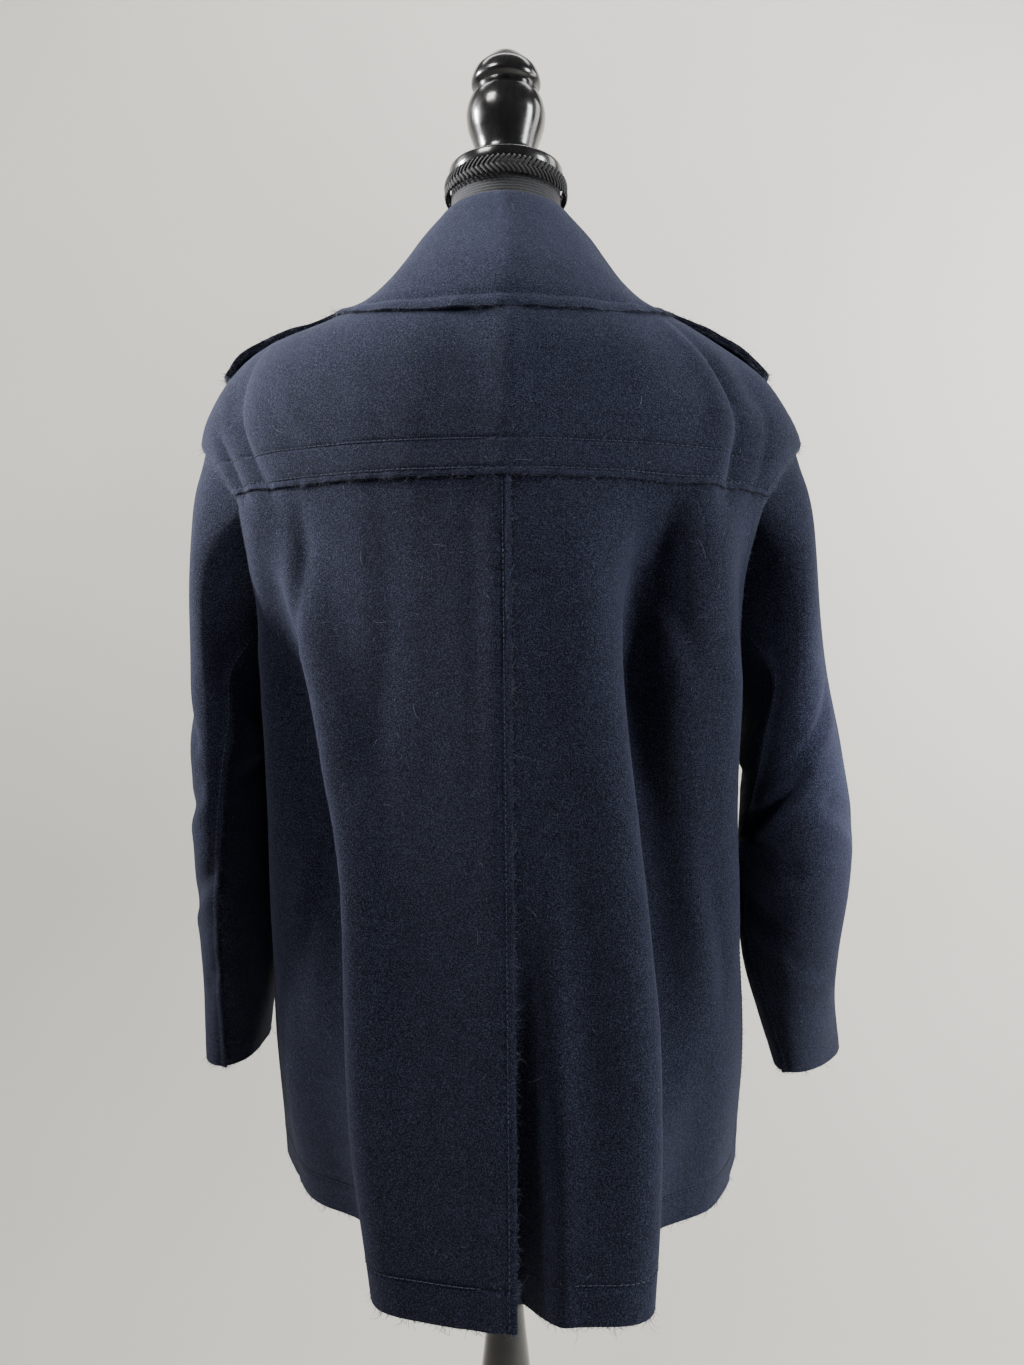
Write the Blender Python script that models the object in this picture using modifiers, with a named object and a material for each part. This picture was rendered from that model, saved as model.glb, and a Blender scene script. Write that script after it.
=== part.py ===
"""A thigh-length wool toggle coat on a dress form, in metres.

+Z is up and the floor is at z = 0, under the middle of the stand's pole. The wearer faces -Y, so the
coat's back looks along +Y and the wearer's left is +X. An angle round the body is in degrees: 0 is the
centre back, 90 the wearer's left side, 180 the centre front and -90 the wearer's right side.
"""

import math

import bpy
import numpy as np
from mathutils import Matrix

COLLECTION = "toggle coat on a dress form"

# Cloth and clearances.
CLOTH = 0.002  # one layer of wool melton
GAP = 0.0004  # between pieces that touch
LAYER = CLOTH + GAP  # how far out the next layer of cloth lies

# The coat's heights above the floor.
NECK = 1.462
SHOULDER_TIP = 1.315
YOKE_TOP_OF_BACK = 1.280  # the back panels run this far up under the yoke
YOKE_EDGE = 1.255
UNDERARM = 1.090
VENT_TOP = 0.775
HEM = 0.657
NECK_DROP = 0.062  # how much lower the neckline is at the centre front

# The heights of the rings of points that every body panel shares.
RINGS = (
    NECK, 1.446, 1.428, 1.408, 1.388, 1.365, 1.340, SHOULDER_TIP, 1.305, YOKE_TOP_OF_BACK, YOKE_EDGE,
    1.222, 1.183, 1.146, 1.116, 1.097, UNDERARM, 1.030, 0.965, 0.900, 0.835, VENT_TOP, 0.720, HEM,
)

# The body's horizontal sections: half-ellipses, wider on the wearer's left or right, deeper at the back
# or the front.
SECTION_COLUMNS = ("height", "left", "right", "back", "front")
SECTIONS = (
    (0.657, 0.197, 0.203, 0.222, 0.190),
    (0.760, 0.210, 0.212, 0.205, 0.183),
    (0.880, 0.213, 0.208, 0.188, 0.177),
    (1.000, 0.211, 0.205, 0.175, 0.173),
    (1.120, 0.212, 0.207, 0.164, 0.171),
    (1.200, 0.226, 0.220, 0.157, 0.166),
    (1.250, 0.247, 0.241, 0.153, 0.157),
    (1.280, 0.260, 0.252, 0.150, 0.148),
    (1.310, 0.265, 0.256, 0.147, 0.136),
    (1.335, 0.257, 0.244, 0.143, 0.122),
    (1.360, 0.241, 0.225, 0.138, 0.105),
    (1.380, 0.218, 0.200, 0.131, 0.088),
    (1.400, 0.171, 0.166, 0.119, 0.073),
    (1.420, 0.126, 0.126, 0.098, 0.066),
    (1.440, 0.092, 0.092, 0.081, 0.063),
    (1.462, 0.072, 0.072, 0.067, 0.060),
)

# The long folds. Each runs through its stations, and sinks in (or, above zero, swells out) by the depth
# there; the spread is the half-width of its bell-shaped section, in degrees.
STATION_COLUMNS = ("height", "angle", "depth")
FOLDS = (
    {"spread": 25, "stations": (
        (0.657, 60, -0.058), (0.740, 61, -0.040), (0.850, 62, -0.025), (1.000, 62, -0.013),
        (1.120, 62, 0.0))},
    {"spread": 7, "stations": (
        (0.657, 26, 0.004), (0.794, 30, 0.011), (0.900, 32, 0.013), (1.000, 36, 0.013),
        (1.090, 42, 0.012), (1.160, 47, 0.010), (1.220, 51, 0.0))},
    {"spread": 9, "stations": (
        (0.780, 48, 0.0), (0.900, 50, -0.010), (1.000, 54, -0.014), (1.100, 60, -0.011),
        (1.190, 65, 0.0))},
    {"spread": 22, "stations": (
        (0.657, -56, -0.056), (0.740, -57, -0.036), (0.850, -57, -0.021), (1.000, -55, -0.012),
        (1.100, -52, 0.0))},
    {"spread": 9, "stations": (
        (0.657, -27, 0.018), (0.820, -28, 0.012), (0.980, -24, 0.009), (1.090, -20, 0.008),
        (1.180, -18, 0.006), (1.265, -17, 0.0))},
    {"spread": 7, "stations": (
        (0.930, -38, 0.0), (1.000, -37, -0.010), (1.050, -35, -0.018), (1.120, -33, -0.024),
        (1.190, -32, -0.020), (1.262, -32, 0.0))},
    {"spread": 9, "stations": (
        (0.800, -70, 0.006), (0.930, -67, 0.011), (1.000, -64, 0.013), (1.080, -60, 0.015),
        (1.150, -53, 0.015), (1.215, -47, 0.012), (1.262, -43, 0.0))},
    {"spread": 8, "stations": (
        (0.760, -48, 0.0), (0.850, -47, -0.010), (0.950, -44, -0.015), (1.040, -42, -0.010),
        (1.120, -41, 0.0))},
    {"spread": 7, "stations": (
        (1.245, -52, 0.0), (1.285, -53, -0.007), (1.330, -56, -0.007), (1.380, -58, 0.0))},
    {"spread": 7, "stations": (
        (1.245, 54, 0.0), (1.285, 56, -0.005), (1.330, 60, -0.005), (1.380, 62, 0.0))},
    {"spread": 8, "stations": (
        (0.800, 76, 0.005), (0.930, 74, 0.008), (1.080, 70, 0.012), (1.160, 64, 0.014),
        (1.215, 59, 0.013), (1.262, 56, 0.0))},
    {"spread": 12, "stations": (
        (0.657, 112, 0.026), (0.760, 110, 0.014), (0.880, 104, 0.004), (1.000, 104, 0.0))},
    {"spread": 12, "stations": (
        (0.657, -110, 0.026), (0.760, -108, 0.014), (0.880, -104, 0.004), (1.000, -104, 0.0))},
    {"spread": 10, "stations": (
        (0.657, 134, -0.026), (0.850, 135, -0.018), (1.000, 136, -0.009), (1.120, 137, 0.0))},
    {"spread": 10, "stations": (
        (0.657, -131, -0.024), (0.850, -133, -0.016), (1.000, -135, -0.008), (1.120, -136, 0.0))},
    {"spread": 9, "stations": (
        (0.657, 155, 0.010), (0.850, 156, 0.007), (1.050, 157, 0.0))},
    {"spread": 9, "stations": (
        (0.657, -152, 0.011), (0.850, -154, 0.007), (1.050, -156, 0.0))},
)

# The centre back seam: the left back laps over the right one, and the right one sinks behind the vent.
LAP_UNDER = 2.0  # where the right back ends, under the left one
LAP_EDGE_TOP, LAP_EDGE_HEM = -1.0, -2.6  # the left back's raw edge
VENT_UNDERLAP = 10.0  # how far the right back reaches below the vent's top
VENT_DROPS = (
    (HEM, -0.044), (0.720, -0.032), (VENT_TOP, -0.021), (0.835, -0.013), (0.920, -0.006), (1.0, -0.001),
    (1.05, 0.0),
)
VENT_FADE = (-12.0, -4.0)  # the sinking fades out between these angles

# The armhole: a closed curve on the body, by the angle of its back and front edge.
ARMHOLE_COLUMNS = ("height", "back", "front")
ARMHOLE = (
    (SHOULDER_TIP, 97, 97),
    (YOKE_TOP_OF_BACK, 67, 117),
    (YOKE_EDGE, 62, 121),
    (1.210, 65, 121),
    (1.160, 69, 117),
    (1.115, 77, 106),
    (UNDERARM, 90, 90),
)
SHOULDER_EDGE = 97.0  # the yoke's raw edge, just in front of the shoulder line
SHOULDER_TUCK = 91.0  # the fronts run this far back under it

# The fronts overlap by this angle each side of the centre, the wearer's right over the left.
FRONT_LAP = 12.0

PANEL_COLUMNS = 11  # cells across a back panel or a front, before the strip along its outer edge


def rows_of(table, names, name):
    """One named column of a table, sorted by its first column."""
    ordered = sorted(table)
    return np.array([row[names.index(name)] for row in ordered], float)


def smooth(knots, values, at):
    """A smooth curve through the knots, read at each place; it stays level past the ends."""
    slopes = np.gradient(values, knots)
    at = np.clip(at, knots[0], knots[-1])
    i = np.clip(np.searchsorted(knots, at) - 1, 0, len(knots) - 2)
    span = knots[i + 1] - knots[i]
    t = (at - knots[i]) / span
    return (
        values[i] * (1 + 2 * t) * (1 - t) ** 2
        + values[i + 1] * t * t * (3 - 2 * t)
        + span * (slopes[i] * t * (1 - t) ** 2 - slopes[i + 1] * t * t * (1 - t))
    )


def section_size(name, height):
    heights = rows_of(SECTIONS, SECTION_COLUMNS, "height")
    return smooth(heights, rows_of(SECTIONS, SECTION_COLUMNS, name), height)


def eased(t):
    """0 to 1 with a soft start and end."""
    t = np.clip(t, 0.0, 1.0)
    return t * t * (3 - 2 * t)


def fold_depth(angle, height):
    """How far the folds move the body's surface outwards."""
    depth = np.zeros(np.broadcast(angle, height).shape)
    for fold in FOLDS:
        stations = fold["stations"]
        heights, angles, depths = (rows_of(stations, STATION_COLUMNS, name) for name in STATION_COLUMNS)
        away = (angle - np.interp(height, heights, angles) + 180) % 360 - 180
        depth += smooth(heights, depths, height) * np.exp(-((away / fold["spread"]) ** 2))
    return depth


def body(angle, height):
    """The inner face of the coat's body."""
    angle, height = np.broadcast_arrays(np.asarray(angle, float), np.asarray(height, float))
    sine, cosine = np.sin(np.radians(angle)), np.cos(np.radians(angle))
    half = np.where(sine >= 0, section_size("left", height), section_size("right", height))
    deep = np.where(cosine >= 0, section_size("back", height), section_size("front", height))
    outward = np.stack([sine / half, cosine / deep], -1)
    outward /= np.linalg.norm(outward, axis=-1, keepdims=True)
    depth = fold_depth(angle, height)
    across = half * sine + depth * outward[..., 0]
    back = deep * cosine + depth * outward[..., 1]
    return np.stack([across, back, height], -1)


def moved_out(angle, height, distance):
    """Points of the body moved out of its surface, square to it."""
    turn, rise = 0.5, 0.002
    across = body(angle + turn, height) - body(angle - turn, height)
    up = body(angle, height + rise) - body(angle, height - rise)
    normal = np.cross(up, across)
    normal /= np.linalg.norm(normal, axis=-1, keepdims=True)
    return body(angle, height) + normal * np.asarray(distance, float)[..., None]


def armhole_turn(height):
    """Where a height lies on the armhole's edge: 0 degrees at the shoulder tip, 180 at the underarm."""
    middle, half = (SHOULDER_TIP + UNDERARM) / 2, (SHOULDER_TIP - UNDERARM) / 2
    return np.degrees(np.arccos(np.clip((height - middle) / half, -1, 1)))


def armhole_angle(edge, turn):
    """The body angle of the armhole's back or front edge."""
    turns = armhole_turn(np.array([row[0] for row in ARMHOLE]))
    angles = np.array([row[ARMHOLE_COLUMNS.index(edge)] for row in ARMHOLE], float)
    return smooth(turns, angles, turn)


def outer_edge(edge, height, above_tip):
    """The body angle where a panel ends: at the armhole, or below it at the side seam."""
    at_armhole = armhole_angle(edge, armhole_turn(height))
    return np.where(height > SHOULDER_TIP + GAP, above_tip, at_armhole)


# ---------------------------------------------------------------------------------------------- building


def new_material(name, colour, roughness, metallic=0.0):
    made = bpy.data.materials.new(name)
    made.use_nodes = True
    shader = made.node_tree.nodes["Principled BSDF"]
    shader.inputs["Base Color"].default_value = (*colour, 1.0)
    shader.inputs["Roughness"].default_value = roughness
    shader.inputs["Metallic"].default_value = metallic
    return made


def add_object(name, data, material):
    made = bpy.data.objects.new(name, data)
    data.materials.append(material)
    bpy.data.collections[COLLECTION].objects.link(made)
    return made


def grid_mesh(name, points, wrap=False, keep=None):
    """An open surface through rows and columns of points, which faces out where the rows run down and
    the columns run with the angle."""
    rows, columns = points.shape[:2]
    if keep is None:
        keep = np.ones((rows - 1, columns if wrap else columns - 1), bool)
    faces = []
    for r, c in zip(*np.nonzero(keep)):
        upper, lower, beside = r * columns, (r + 1) * columns, (c + 1) % columns
        faces.append((upper + c, upper + beside, lower + beside, lower + c))
    used = sorted({corner for face in faces for corner in face})
    number = {old: new for new, old in enumerate(used)}
    mesh = bpy.data.meshes.new(name)
    corners = points.reshape(-1, 3)[used].tolist()
    mesh.from_pydata(corners, [], [[number[corner] for corner in face] for face in faces])
    mesh.shade_smooth()
    return mesh


def sheet(name, points, material, thickness=CLOTH, outwards=True, wrap=False, keep=None):
    """Cloth: an open surface with its thickness added on its outer or its inner side."""
    made = add_object(name, grid_mesh(name, points, wrap, keep), material)
    solidify = made.modifiers.new("thickness", "SOLIDIFY")
    solidify.thickness = thickness
    solidify.offset = 1.0 if outwards else -1.0
    return made


def turned(name, profile, material, sides=28, place=(0, 0, 0)):
    """A turned shape from (radius, height) pairs, listed from the top down, closed on the axis."""
    mesh = bpy.data.meshes.new(name)
    edges = [(i, i + 1) for i in range(len(profile) - 1)]
    mesh.from_pydata([(radius, 0, height) for radius, height in profile], edges, [])
    made = add_object(name, mesh, material)
    made.location = place
    screw = made.modifiers.new("turn", "SCREW")
    screw.steps = screw.render_steps = sides
    screw.use_merge_vertices = True
    screw.merge_threshold = 0.0001
    return made


def cord(name, points, radius, material, sides=6):
    """A round cord along a list of points, with flat ends."""
    points = np.array(points, float)
    along = np.gradient(points, axis=0)
    along /= np.linalg.norm(along, axis=1, keepdims=True)
    side = np.cross(along, (0.0, 1.0, 0.0))
    side /= np.linalg.norm(side, axis=1, keepdims=True)
    upright = np.cross(side, along)
    turns = np.arange(sides) * 2 * math.pi / sides
    rings = points[:, None] + radius * (
        side[:, None] * np.cos(turns)[:, None] - upright[:, None] * np.sin(turns)[:, None]
    )
    mesh = grid_mesh(name, rings, wrap=True)
    return add_object(name, capped(mesh, sides), material)


def capped(mesh, sides):
    """A ring-by-ring tube with its two ends closed."""
    vertices = [tuple(v.co) for v in mesh.vertices]
    faces = [tuple(p.vertices) for p in mesh.polygons]
    faces.append(tuple(range(sides))[::-1])
    faces.append(tuple(range(len(vertices) - sides, len(vertices))))
    closed = bpy.data.meshes.new(mesh.name)
    closed.from_pydata(vertices, [], faces)
    closed.shade_smooth()
    return closed


# ------------------------------------------------------------------------------------------ body panels

EDGE_STRIP = (SHOULDER_TUCK - LAP_UNDER) / (SHOULDER_EDGE - LAP_UNDER)
BACK_FRACTIONS = np.append(np.linspace(0, EDGE_STRIP, PANEL_COLUMNS), 1.0)
FRONT_STRIP = (SHOULDER_EDGE - SHOULDER_TUCK) / (180 - FRONT_LAP - SHOULDER_TUCK)
FRONT_FRACTIONS = np.append(0.0, np.linspace(FRONT_STRIP, 1, PANEL_COLUMNS - 1))
SEAM_EASE = 0.0003  # each side of a butted seam draws back by this


def rings_between(top, bottom):
    return np.array([h for h in RINGS if bottom - GAP <= h <= top + GAP])


def lap_edge(height):
    return np.interp(height, (HEM, YOKE_TOP_OF_BACK), (LAP_EDGE_HEM, LAP_EDGE_TOP))


def left_back_angles(heights):
    """The left back's columns beyond the lap, at each height."""
    edge = outer_edge("back", heights, SHOULDER_EDGE)
    return LAP_UNDER + (edge - LAP_UNDER)[:, None] * BACK_FRACTIONS


def right_back_angles(heights):
    start, edge = lap_edge(heights), -outer_edge("back", heights, SHOULDER_EDGE)
    return (start[:, None] + (edge - start)[:, None] * BACK_FRACTIONS)[:, ::-1]


def vent_drop(angle, height):
    heights, depths = np.array(sorted(VENT_DROPS)).T
    start, end = VENT_FADE
    return np.interp(height, heights, depths) * eased((angle - start) / (end - start))


def drawn_in(points, first=False, last=False, ease=SEAM_EASE):
    """A grid whose first or last column has moved a little towards its neighbour, for a butted seam."""
    points = points.copy()
    for wanted, edge, beside in ((first, 0, 1), (last, -1, -2)):
        if wanted:
            step = points[:, beside] - points[:, edge]
            points[:, edge] += step / np.linalg.norm(step, axis=-1, keepdims=True) * ease
    return points


def build_backs(wool):
    heights = rings_between(YOKE_TOP_OF_BACK, HEM)
    rows = heights[:, None]
    angles = np.hstack([lap_edge(heights)[:, None], left_back_angles(heights)])
    lift = np.zeros(angles.shape)
    lift[:, :2] = LAYER
    sheet("back_left", drawn_in(moved_out(angles, rows, lift), last=True), wool)

    under = np.full((len(heights), 1), LAP_UNDER)
    vent = np.full((len(heights), 1), VENT_UNDERLAP)
    angles = np.hstack([right_back_angles(heights), under, vent])
    keep = np.ones((len(heights) - 1, angles.shape[1] - 1), bool)
    keep[:, -1] = heights[:-1] < VENT_TOP + GAP
    points = drawn_in(moved_out(angles, rows, vent_drop(angles, rows)), first=True)
    sheet("back_right", points, wool, keep=keep)


def build_yoke(wool):
    heights = rings_between(NECK, YOKE_EDGE)
    angles = np.hstack([right_back_angles(heights), left_back_angles(heights)])
    lift = np.full(angles.shape, LAYER)
    middle = len(BACK_FRACTIONS)
    lift[:, middle - 1 : middle + 1] = 2 * LAYER
    sheet("back_yoke", moved_out(angles, heights[:, None], lift), wool)


def front_grid(side):
    """Angles and heights of a front; side is 1 for the wearer's left and -1 for the right."""
    heights = rings_between(NECK, HEM)
    edge = outer_edge("front", heights, SHOULDER_TUCK)
    inner = 180 - FRONT_LAP
    angles = edge[:, None] + (inner - edge)[:, None] * FRONT_FRACTIONS
    lap = np.tile(inner + FRONT_LAP * np.array([2, 4, 6]) / 3, (len(heights), 1))
    angles = np.hstack([angles, lap])
    from_centre = 180 - np.abs(180 - angles)
    lowered = NECK_DROP * eased((from_centre - SHOULDER_EDGE) / (inner - SHOULDER_EDGE))
    upper = np.clip((heights - SHOULDER_TIP) / (NECK - SHOULDER_TIP), 0, 1)[:, None]
    rows = heights[:, None] - lowered * upper
    return (angles, rows) if side > 0 else (-angles[:, ::-1], rows[:, ::-1])


def build_fronts(wool):
    angles, rows = front_grid(1)
    sheet("front_left", drawn_in(moved_out(angles, rows, 0 * angles), first=True), wool)
    angles, rows = front_grid(-1)
    lift = np.where(angles <= -(180 - FRONT_LAP) + 0.01, LAYER, 0.0)
    sheet("front_right", drawn_in(moved_out(angles, rows, lift), last=True), wool)


# ---------------------------------------------------------------------------------------------- sleeves

# Each sleeve's rings from the shoulder to the cuff: the ring's middle, its half-size across the arm
# (thick) and from front to back (wide), how far its plane tips up towards the outside (tip), how it
# turns about the vertical so that its front swings out (swing), and how far the seams wind round it.
SLEEVE_COLUMNS = ("out", "back", "height", "thick", "wide", "tip", "swing", "wind")
SLEEVES = {
    "left": (
        (0.2470, -0.004, 1.1600, 0.096, 0.080, 73, 0, 0),
        (0.2445, -0.003, 1.0850, 0.054, 0.081, 52, 0, -8),
        (0.2430, -0.003, 1.0200, 0.033, 0.082, 20, 0, -16),
        (0.2430, -0.008, 0.9500, 0.0310, 0.079, 0, 0, -26),
        (0.2430, -0.020, 0.8800, 0.0300, 0.073, 0, 0, -36),
        (0.2460, -0.034, 0.8150, 0.0270, 0.068, 0, 0, -34),
        (0.2500, -0.044, 0.7630, 0.0240, 0.064, 0, 0, -27),
    ),
    "right": (
        (0.2420, -0.004, 1.1600, 0.096, 0.080, 73, 0, 0),
        (0.2460, -0.003, 1.0850, 0.056, 0.080, 52, 0, 12),
        (0.2550, -0.003, 1.0300, 0.044, 0.078, 24, 2, 26),
        (0.2600, -0.006, 0.9750, 0.0480, 0.073, 8, 6, 36),
        (0.2610, -0.014, 0.9150, 0.0490, 0.067, 0, 12, 28),
        (0.2630, -0.026, 0.8500, 0.0430, 0.063, 0, 18, 8),
        (0.2710, -0.036, 0.7980, 0.0340, 0.062, 0, 25, -12),
        (0.2820, -0.043, 0.7530, 0.0260, 0.062, 0, 30, -26),
    ),
}
BACK_SEAM_RING, FRONT_SEAM_RING = 1.146, 1.146  # the armhole's heights where the sleeve's two seams start
TUCK = 0.0008  # the sleeve head starts this far inside the body's edge
SLEEVE_SEAM_EASE = 0.0010
HEAD_IN, HEAD_OUT = 0.010, 0.004  # and comes out of the armhole by this much


def armhole_point(side, turn, distance):
    """A point of the armhole's edge at a turn of 0 to 360 degrees, by way of the back."""
    folded = np.where(turn <= 180, turn, 360 - turn)
    middle, half = (SHOULDER_TIP + UNDERARM) / 2, (SHOULDER_TIP - UNDERARM) / 2
    height = middle + half * np.cos(np.radians(folded))
    angle = np.where(turn <= 180, armhole_angle("back", folded), armhole_angle("front", folded))
    return moved_out(side * angle, height, np.full(angle.shape, distance))


def sleeve_ring(side, row, turn):
    """One ring of a sleeve, at turns from the outside of the arm by way of its back."""
    ring = dict(zip(SLEEVE_COLUMNS, row))
    round_it = np.radians(turn + ring["wind"])
    tip, swing = math.radians(ring["tip"]), math.radians(ring["swing"])
    across, back = ring["thick"] * np.cos(round_it), ring["wide"] * np.sin(round_it)
    level = across * math.cos(tip)
    x = ring["out"] + level * math.cos(swing) - back * math.sin(swing)
    y = ring["back"] + level * math.sin(swing) + back * math.cos(swing)
    return np.stack([side * x, y, ring["height"] + across * math.sin(tip)], -1)


def sleeve_surface(side_name, turn, steps):
    """The sleeve's outer face: a row of points for each ring and each step between rings."""
    side = 1 if side_name == "left" else -1
    edge = armhole_point(side, turn, -TUCK)
    middle = armhole_point(side, np.arange(0.0, 360.0, 15.0), 0.0).mean(0)
    inwards = middle - edge
    inwards[:, 0] = 0
    inwards /= np.linalg.norm(inwards, axis=-1, keepdims=True)
    head = edge + inwards * HEAD_IN + np.array([side * HEAD_OUT, 0, 0])
    rings = np.stack([head] + [sleeve_ring(side, row, turn) for row in SLEEVES[side_name]])
    places = np.arange(len(rings), dtype=float)
    wanted = np.linspace(0, len(rings) - 1, (len(rings) - 1) * steps + 1)
    body_of_sleeve = np.stack([
        np.stack([smooth(places, rings[:, column, axis], wanted) for axis in range(3)], -1)
        for column in range(len(turn))
    ], 1)
    return np.concatenate([edge[None], body_of_sleeve])


def build_sleeve(side_name, wool):
    """Both halves of a sleeve; their columns start at the armhole's own points."""
    turns = armhole_turn(rings_between(SHOULDER_TIP, UNDERARM))
    back_seam, front_seam = armhole_turn(BACK_SEAM_RING), -armhole_turn(FRONT_SEAM_RING)
    all_round = np.unique(np.round(np.concatenate([-turns, turns, 360 - turns]), 6))
    halves = {
        "upper": all_round[(all_round > front_seam - 0.01) & (all_round < back_seam + 0.01)],
        "under": all_round[(all_round > back_seam - 0.01) & (all_round < front_seam + 360.01)],
    }
    for half, wanted in halves.items():
        points = drawn_in(sleeve_surface(side_name, wanted % 360, 2), True, True, SLEEVE_SEAM_EASE)
        if side_name == "left":
            points = points[:, ::-1]
        sheet(f"sleeve_{side_name}_{half}", points, wool, outwards=False)


# ------------------------------------------------------------------------------- collar and epaulettes

# The collar, the same on both sides: its roll's distance from the neck's middle and its height, and
# where its outer edge lies on the body and how far above it, and how far its fall rounds out between.
COLLAR_COLUMNS = ("angle", "roll_out", "roll_height", "edge_angle", "edge_height", "edge_lift", "swell")
COLLAR = (
    (0, 0.065, 1.511, 0, 1.386, 0.0096, 0.007),
    (30, 0.062, 1.511, 30, 1.389, 0.0090, 0.000),
    (55, 0.059, 1.511, 52, 1.400, 0.0088, -0.010),
    (75, 0.058, 1.511, 73, 1.410, 0.0092, -0.010),
    (90, 0.058, 1.509, 90, 1.411, 0.0090, -0.010),
    (110, 0.061, 1.502, 110, 1.400, 0.0085, -0.007),
    (130, 0.066, 1.488, 130, 1.378, 0.0090, -0.001),
    (150, 0.073, 1.463, 146, 1.348, 0.0080, 0.003),
    (171, 0.079, 1.436, 161, 1.314, 0.0085, 0.004),
)
COLLAR_RISE = 0.0016  # how far its foot is above the neck seam
COLLAR_STEPS = 17  # columns from the centre back to each front end
SWELL_SKEW = 1.6  # the swell is greatest nearer the edge
ROLL_IN, ROLL_OUT, ROLL_FALL = 0.0035, 0.0045, 0.0045  # the roll's soft turn

EPAULETTE_COLUMNS = ("height", "back", "front", "lift")
EPAULETTE = (
    (1.3985, 77, 105, 0.0050),
    (1.3940, 77, 105, 0.0062),
    (1.389, 78, 104, 0.0068),
    (1.378, 79, 103, 0.0070),
    (1.369, 80, 102, 0.0068),
    (1.360, 82, 100, 0.0050),
)
EPAULETTE_THICK = 0.0048  # two layers of cloth
EPAULETTE_CELLS = 4
BUTTON_PLACE = (1.397, 91.0)  # height and angle
BUTTON_RADIUS, BUTTON_THICK = 0.0100, 0.0040


def neckline(angle):
    """The height of the neck seam."""
    return NECK - NECK_DROP * eased((np.abs(angle) - SHOULDER_EDGE) / (180 - FRONT_LAP - SHOULDER_EDGE))


def collar_points(angle):
    """Rows of points down the collar's visible face: up the stand, over the roll and down the fall."""
    side, turn = np.sign(angle), np.abs(angle)
    roll_out, roll_height, edge_angle, edge_height, edge_lift, swell = (
        smooth(rows_of(COLLAR, COLLAR_COLUMNS, "angle"), rows_of(COLLAR, COLLAR_COLUMNS, name), turn)
        for name in COLLAR_COLUMNS[1:]
    )
    foot = body(angle, neckline(angle) + COLLAR_RISE)
    outward = np.stack([np.sin(np.radians(angle)), np.cos(np.radians(angle)), 0 * angle], -1)
    up = np.array([0.0, 0.0, 1.0])
    roll = outward * roll_out[:, None] + up * roll_height[:, None]
    edge = moved_out(side * edge_angle, edge_height, edge_lift)
    over = roll + outward * ROLL_OUT - up * ROLL_FALL
    inside = roll - outward * ROLL_IN - up * ROLL_FALL
    rows = [foot, foot + (inside - foot) * 0.5, inside, roll, over]
    for t in (0.2, 0.4, 0.6, 0.8, 1.0):
        bend = (outward * 0.6 + up * 0.8) * swell[:, None] * math.sin(math.pi * t ** SWELL_SKEW)
        rows.append(over + (edge - over) * t + bend)
    return np.stack(rows)


def build_collar(wool):
    half = np.linspace(0, COLLAR[-1][0], COLLAR_STEPS)
    angles = np.concatenate([-half[:0:-1], half])
    sheet("collar", collar_points(angles), wool, outwards=False)


def frame_at(angle, height):
    """The body's surface frame at a place: along the angle, up the body, and out of it."""
    across = body(angle + 0.5, height) - body(angle - 0.5, height)
    out = moved_out(angle, height, 0.01) - body(angle, height)
    across, out = across / np.linalg.norm(across), out / np.linalg.norm(out)
    return across, np.cross(out, across), out


def turned_onto(made, place, axis_out, axis_along):
    """Stands a turned shape on a place, its axis pointing out."""
    side = np.cross(axis_out, axis_along)
    rows = [(axis_along[i], side[i], axis_out[i], place[i]) for i in range(3)]
    made.matrix_world = Matrix([*rows, (0, 0, 0, 1)])


def build_epaulettes(wool, horn):
    columns = [rows_of(EPAULETTE, EPAULETTE_COLUMNS, name)[::-1] for name in EPAULETTE_COLUMNS]
    heights, back, front, lift = columns
    cells = np.linspace(0, 1, EPAULETTE_CELLS + 1)
    angles = back[:, None] + (front - back)[:, None] * cells
    lifts = np.repeat(lift[:, None], len(cells), 1)
    for side, name in ((1, "left"), (-1, "right")):
        wanted = angles if side > 0 else -angles[:, ::-1]
        points = moved_out(wanted, heights[:, None], lifts)
        sheet(f"epaulette_{name}", points, wool, thickness=EPAULETTE_THICK)
        height, angle = BUTTON_PLACE
        across, up, out = frame_at(side * angle, height)
        top = float(np.interp(height, heights[::-1], lift[::-1])) + EPAULETTE_THICK + 3 * GAP
        place = moved_out(side * angle, height, top)
        profile = (
            (0, BUTTON_THICK), (BUTTON_RADIUS * 0.55, BUTTON_THICK * 0.8),
            (BUTTON_RADIUS * 0.85, BUTTON_THICK), (BUTTON_RADIUS, BUTTON_THICK * 0.6),
            (BUTTON_RADIUS * 0.9, 0), (0, 0),
        )
        made = turned(f"epaulette_button_{name}", profile, horn, 20)
        turned_onto(made, place, out, across)


# ----------------------------------------------------------------------------------------------- toggles

TOGGLE_HEIGHTS = (1.245, 1.120, 0.995)
TOGGLE_ANGLE = 167.0
METRES_PER_DEGREE = 0.0030  # round the chest
PATCH_WIDE, PATCH_HIGH, PATCH_THICK = 0.030, 0.036, 0.0025
PATCH_OUT = 0.052  # from the toggle's middle to each patch's middle
CORD_RADIUS = 0.0016
LOOP_HALF = 0.0070  # half the loop's width
LOOP_STRAIGHT = -0.030  # the loop's sides run straight up to here
TOGGLE_HALF, TOGGLE_RADIUS = 0.025, 0.0062


def front_point(height, across, up, out):
    """A point in front of the coat, measured from a toggle's middle; across is to the wearer's left."""
    return moved_out(TOGGLE_ANGLE - across / METRES_PER_DEGREE, height + up, out)


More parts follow.
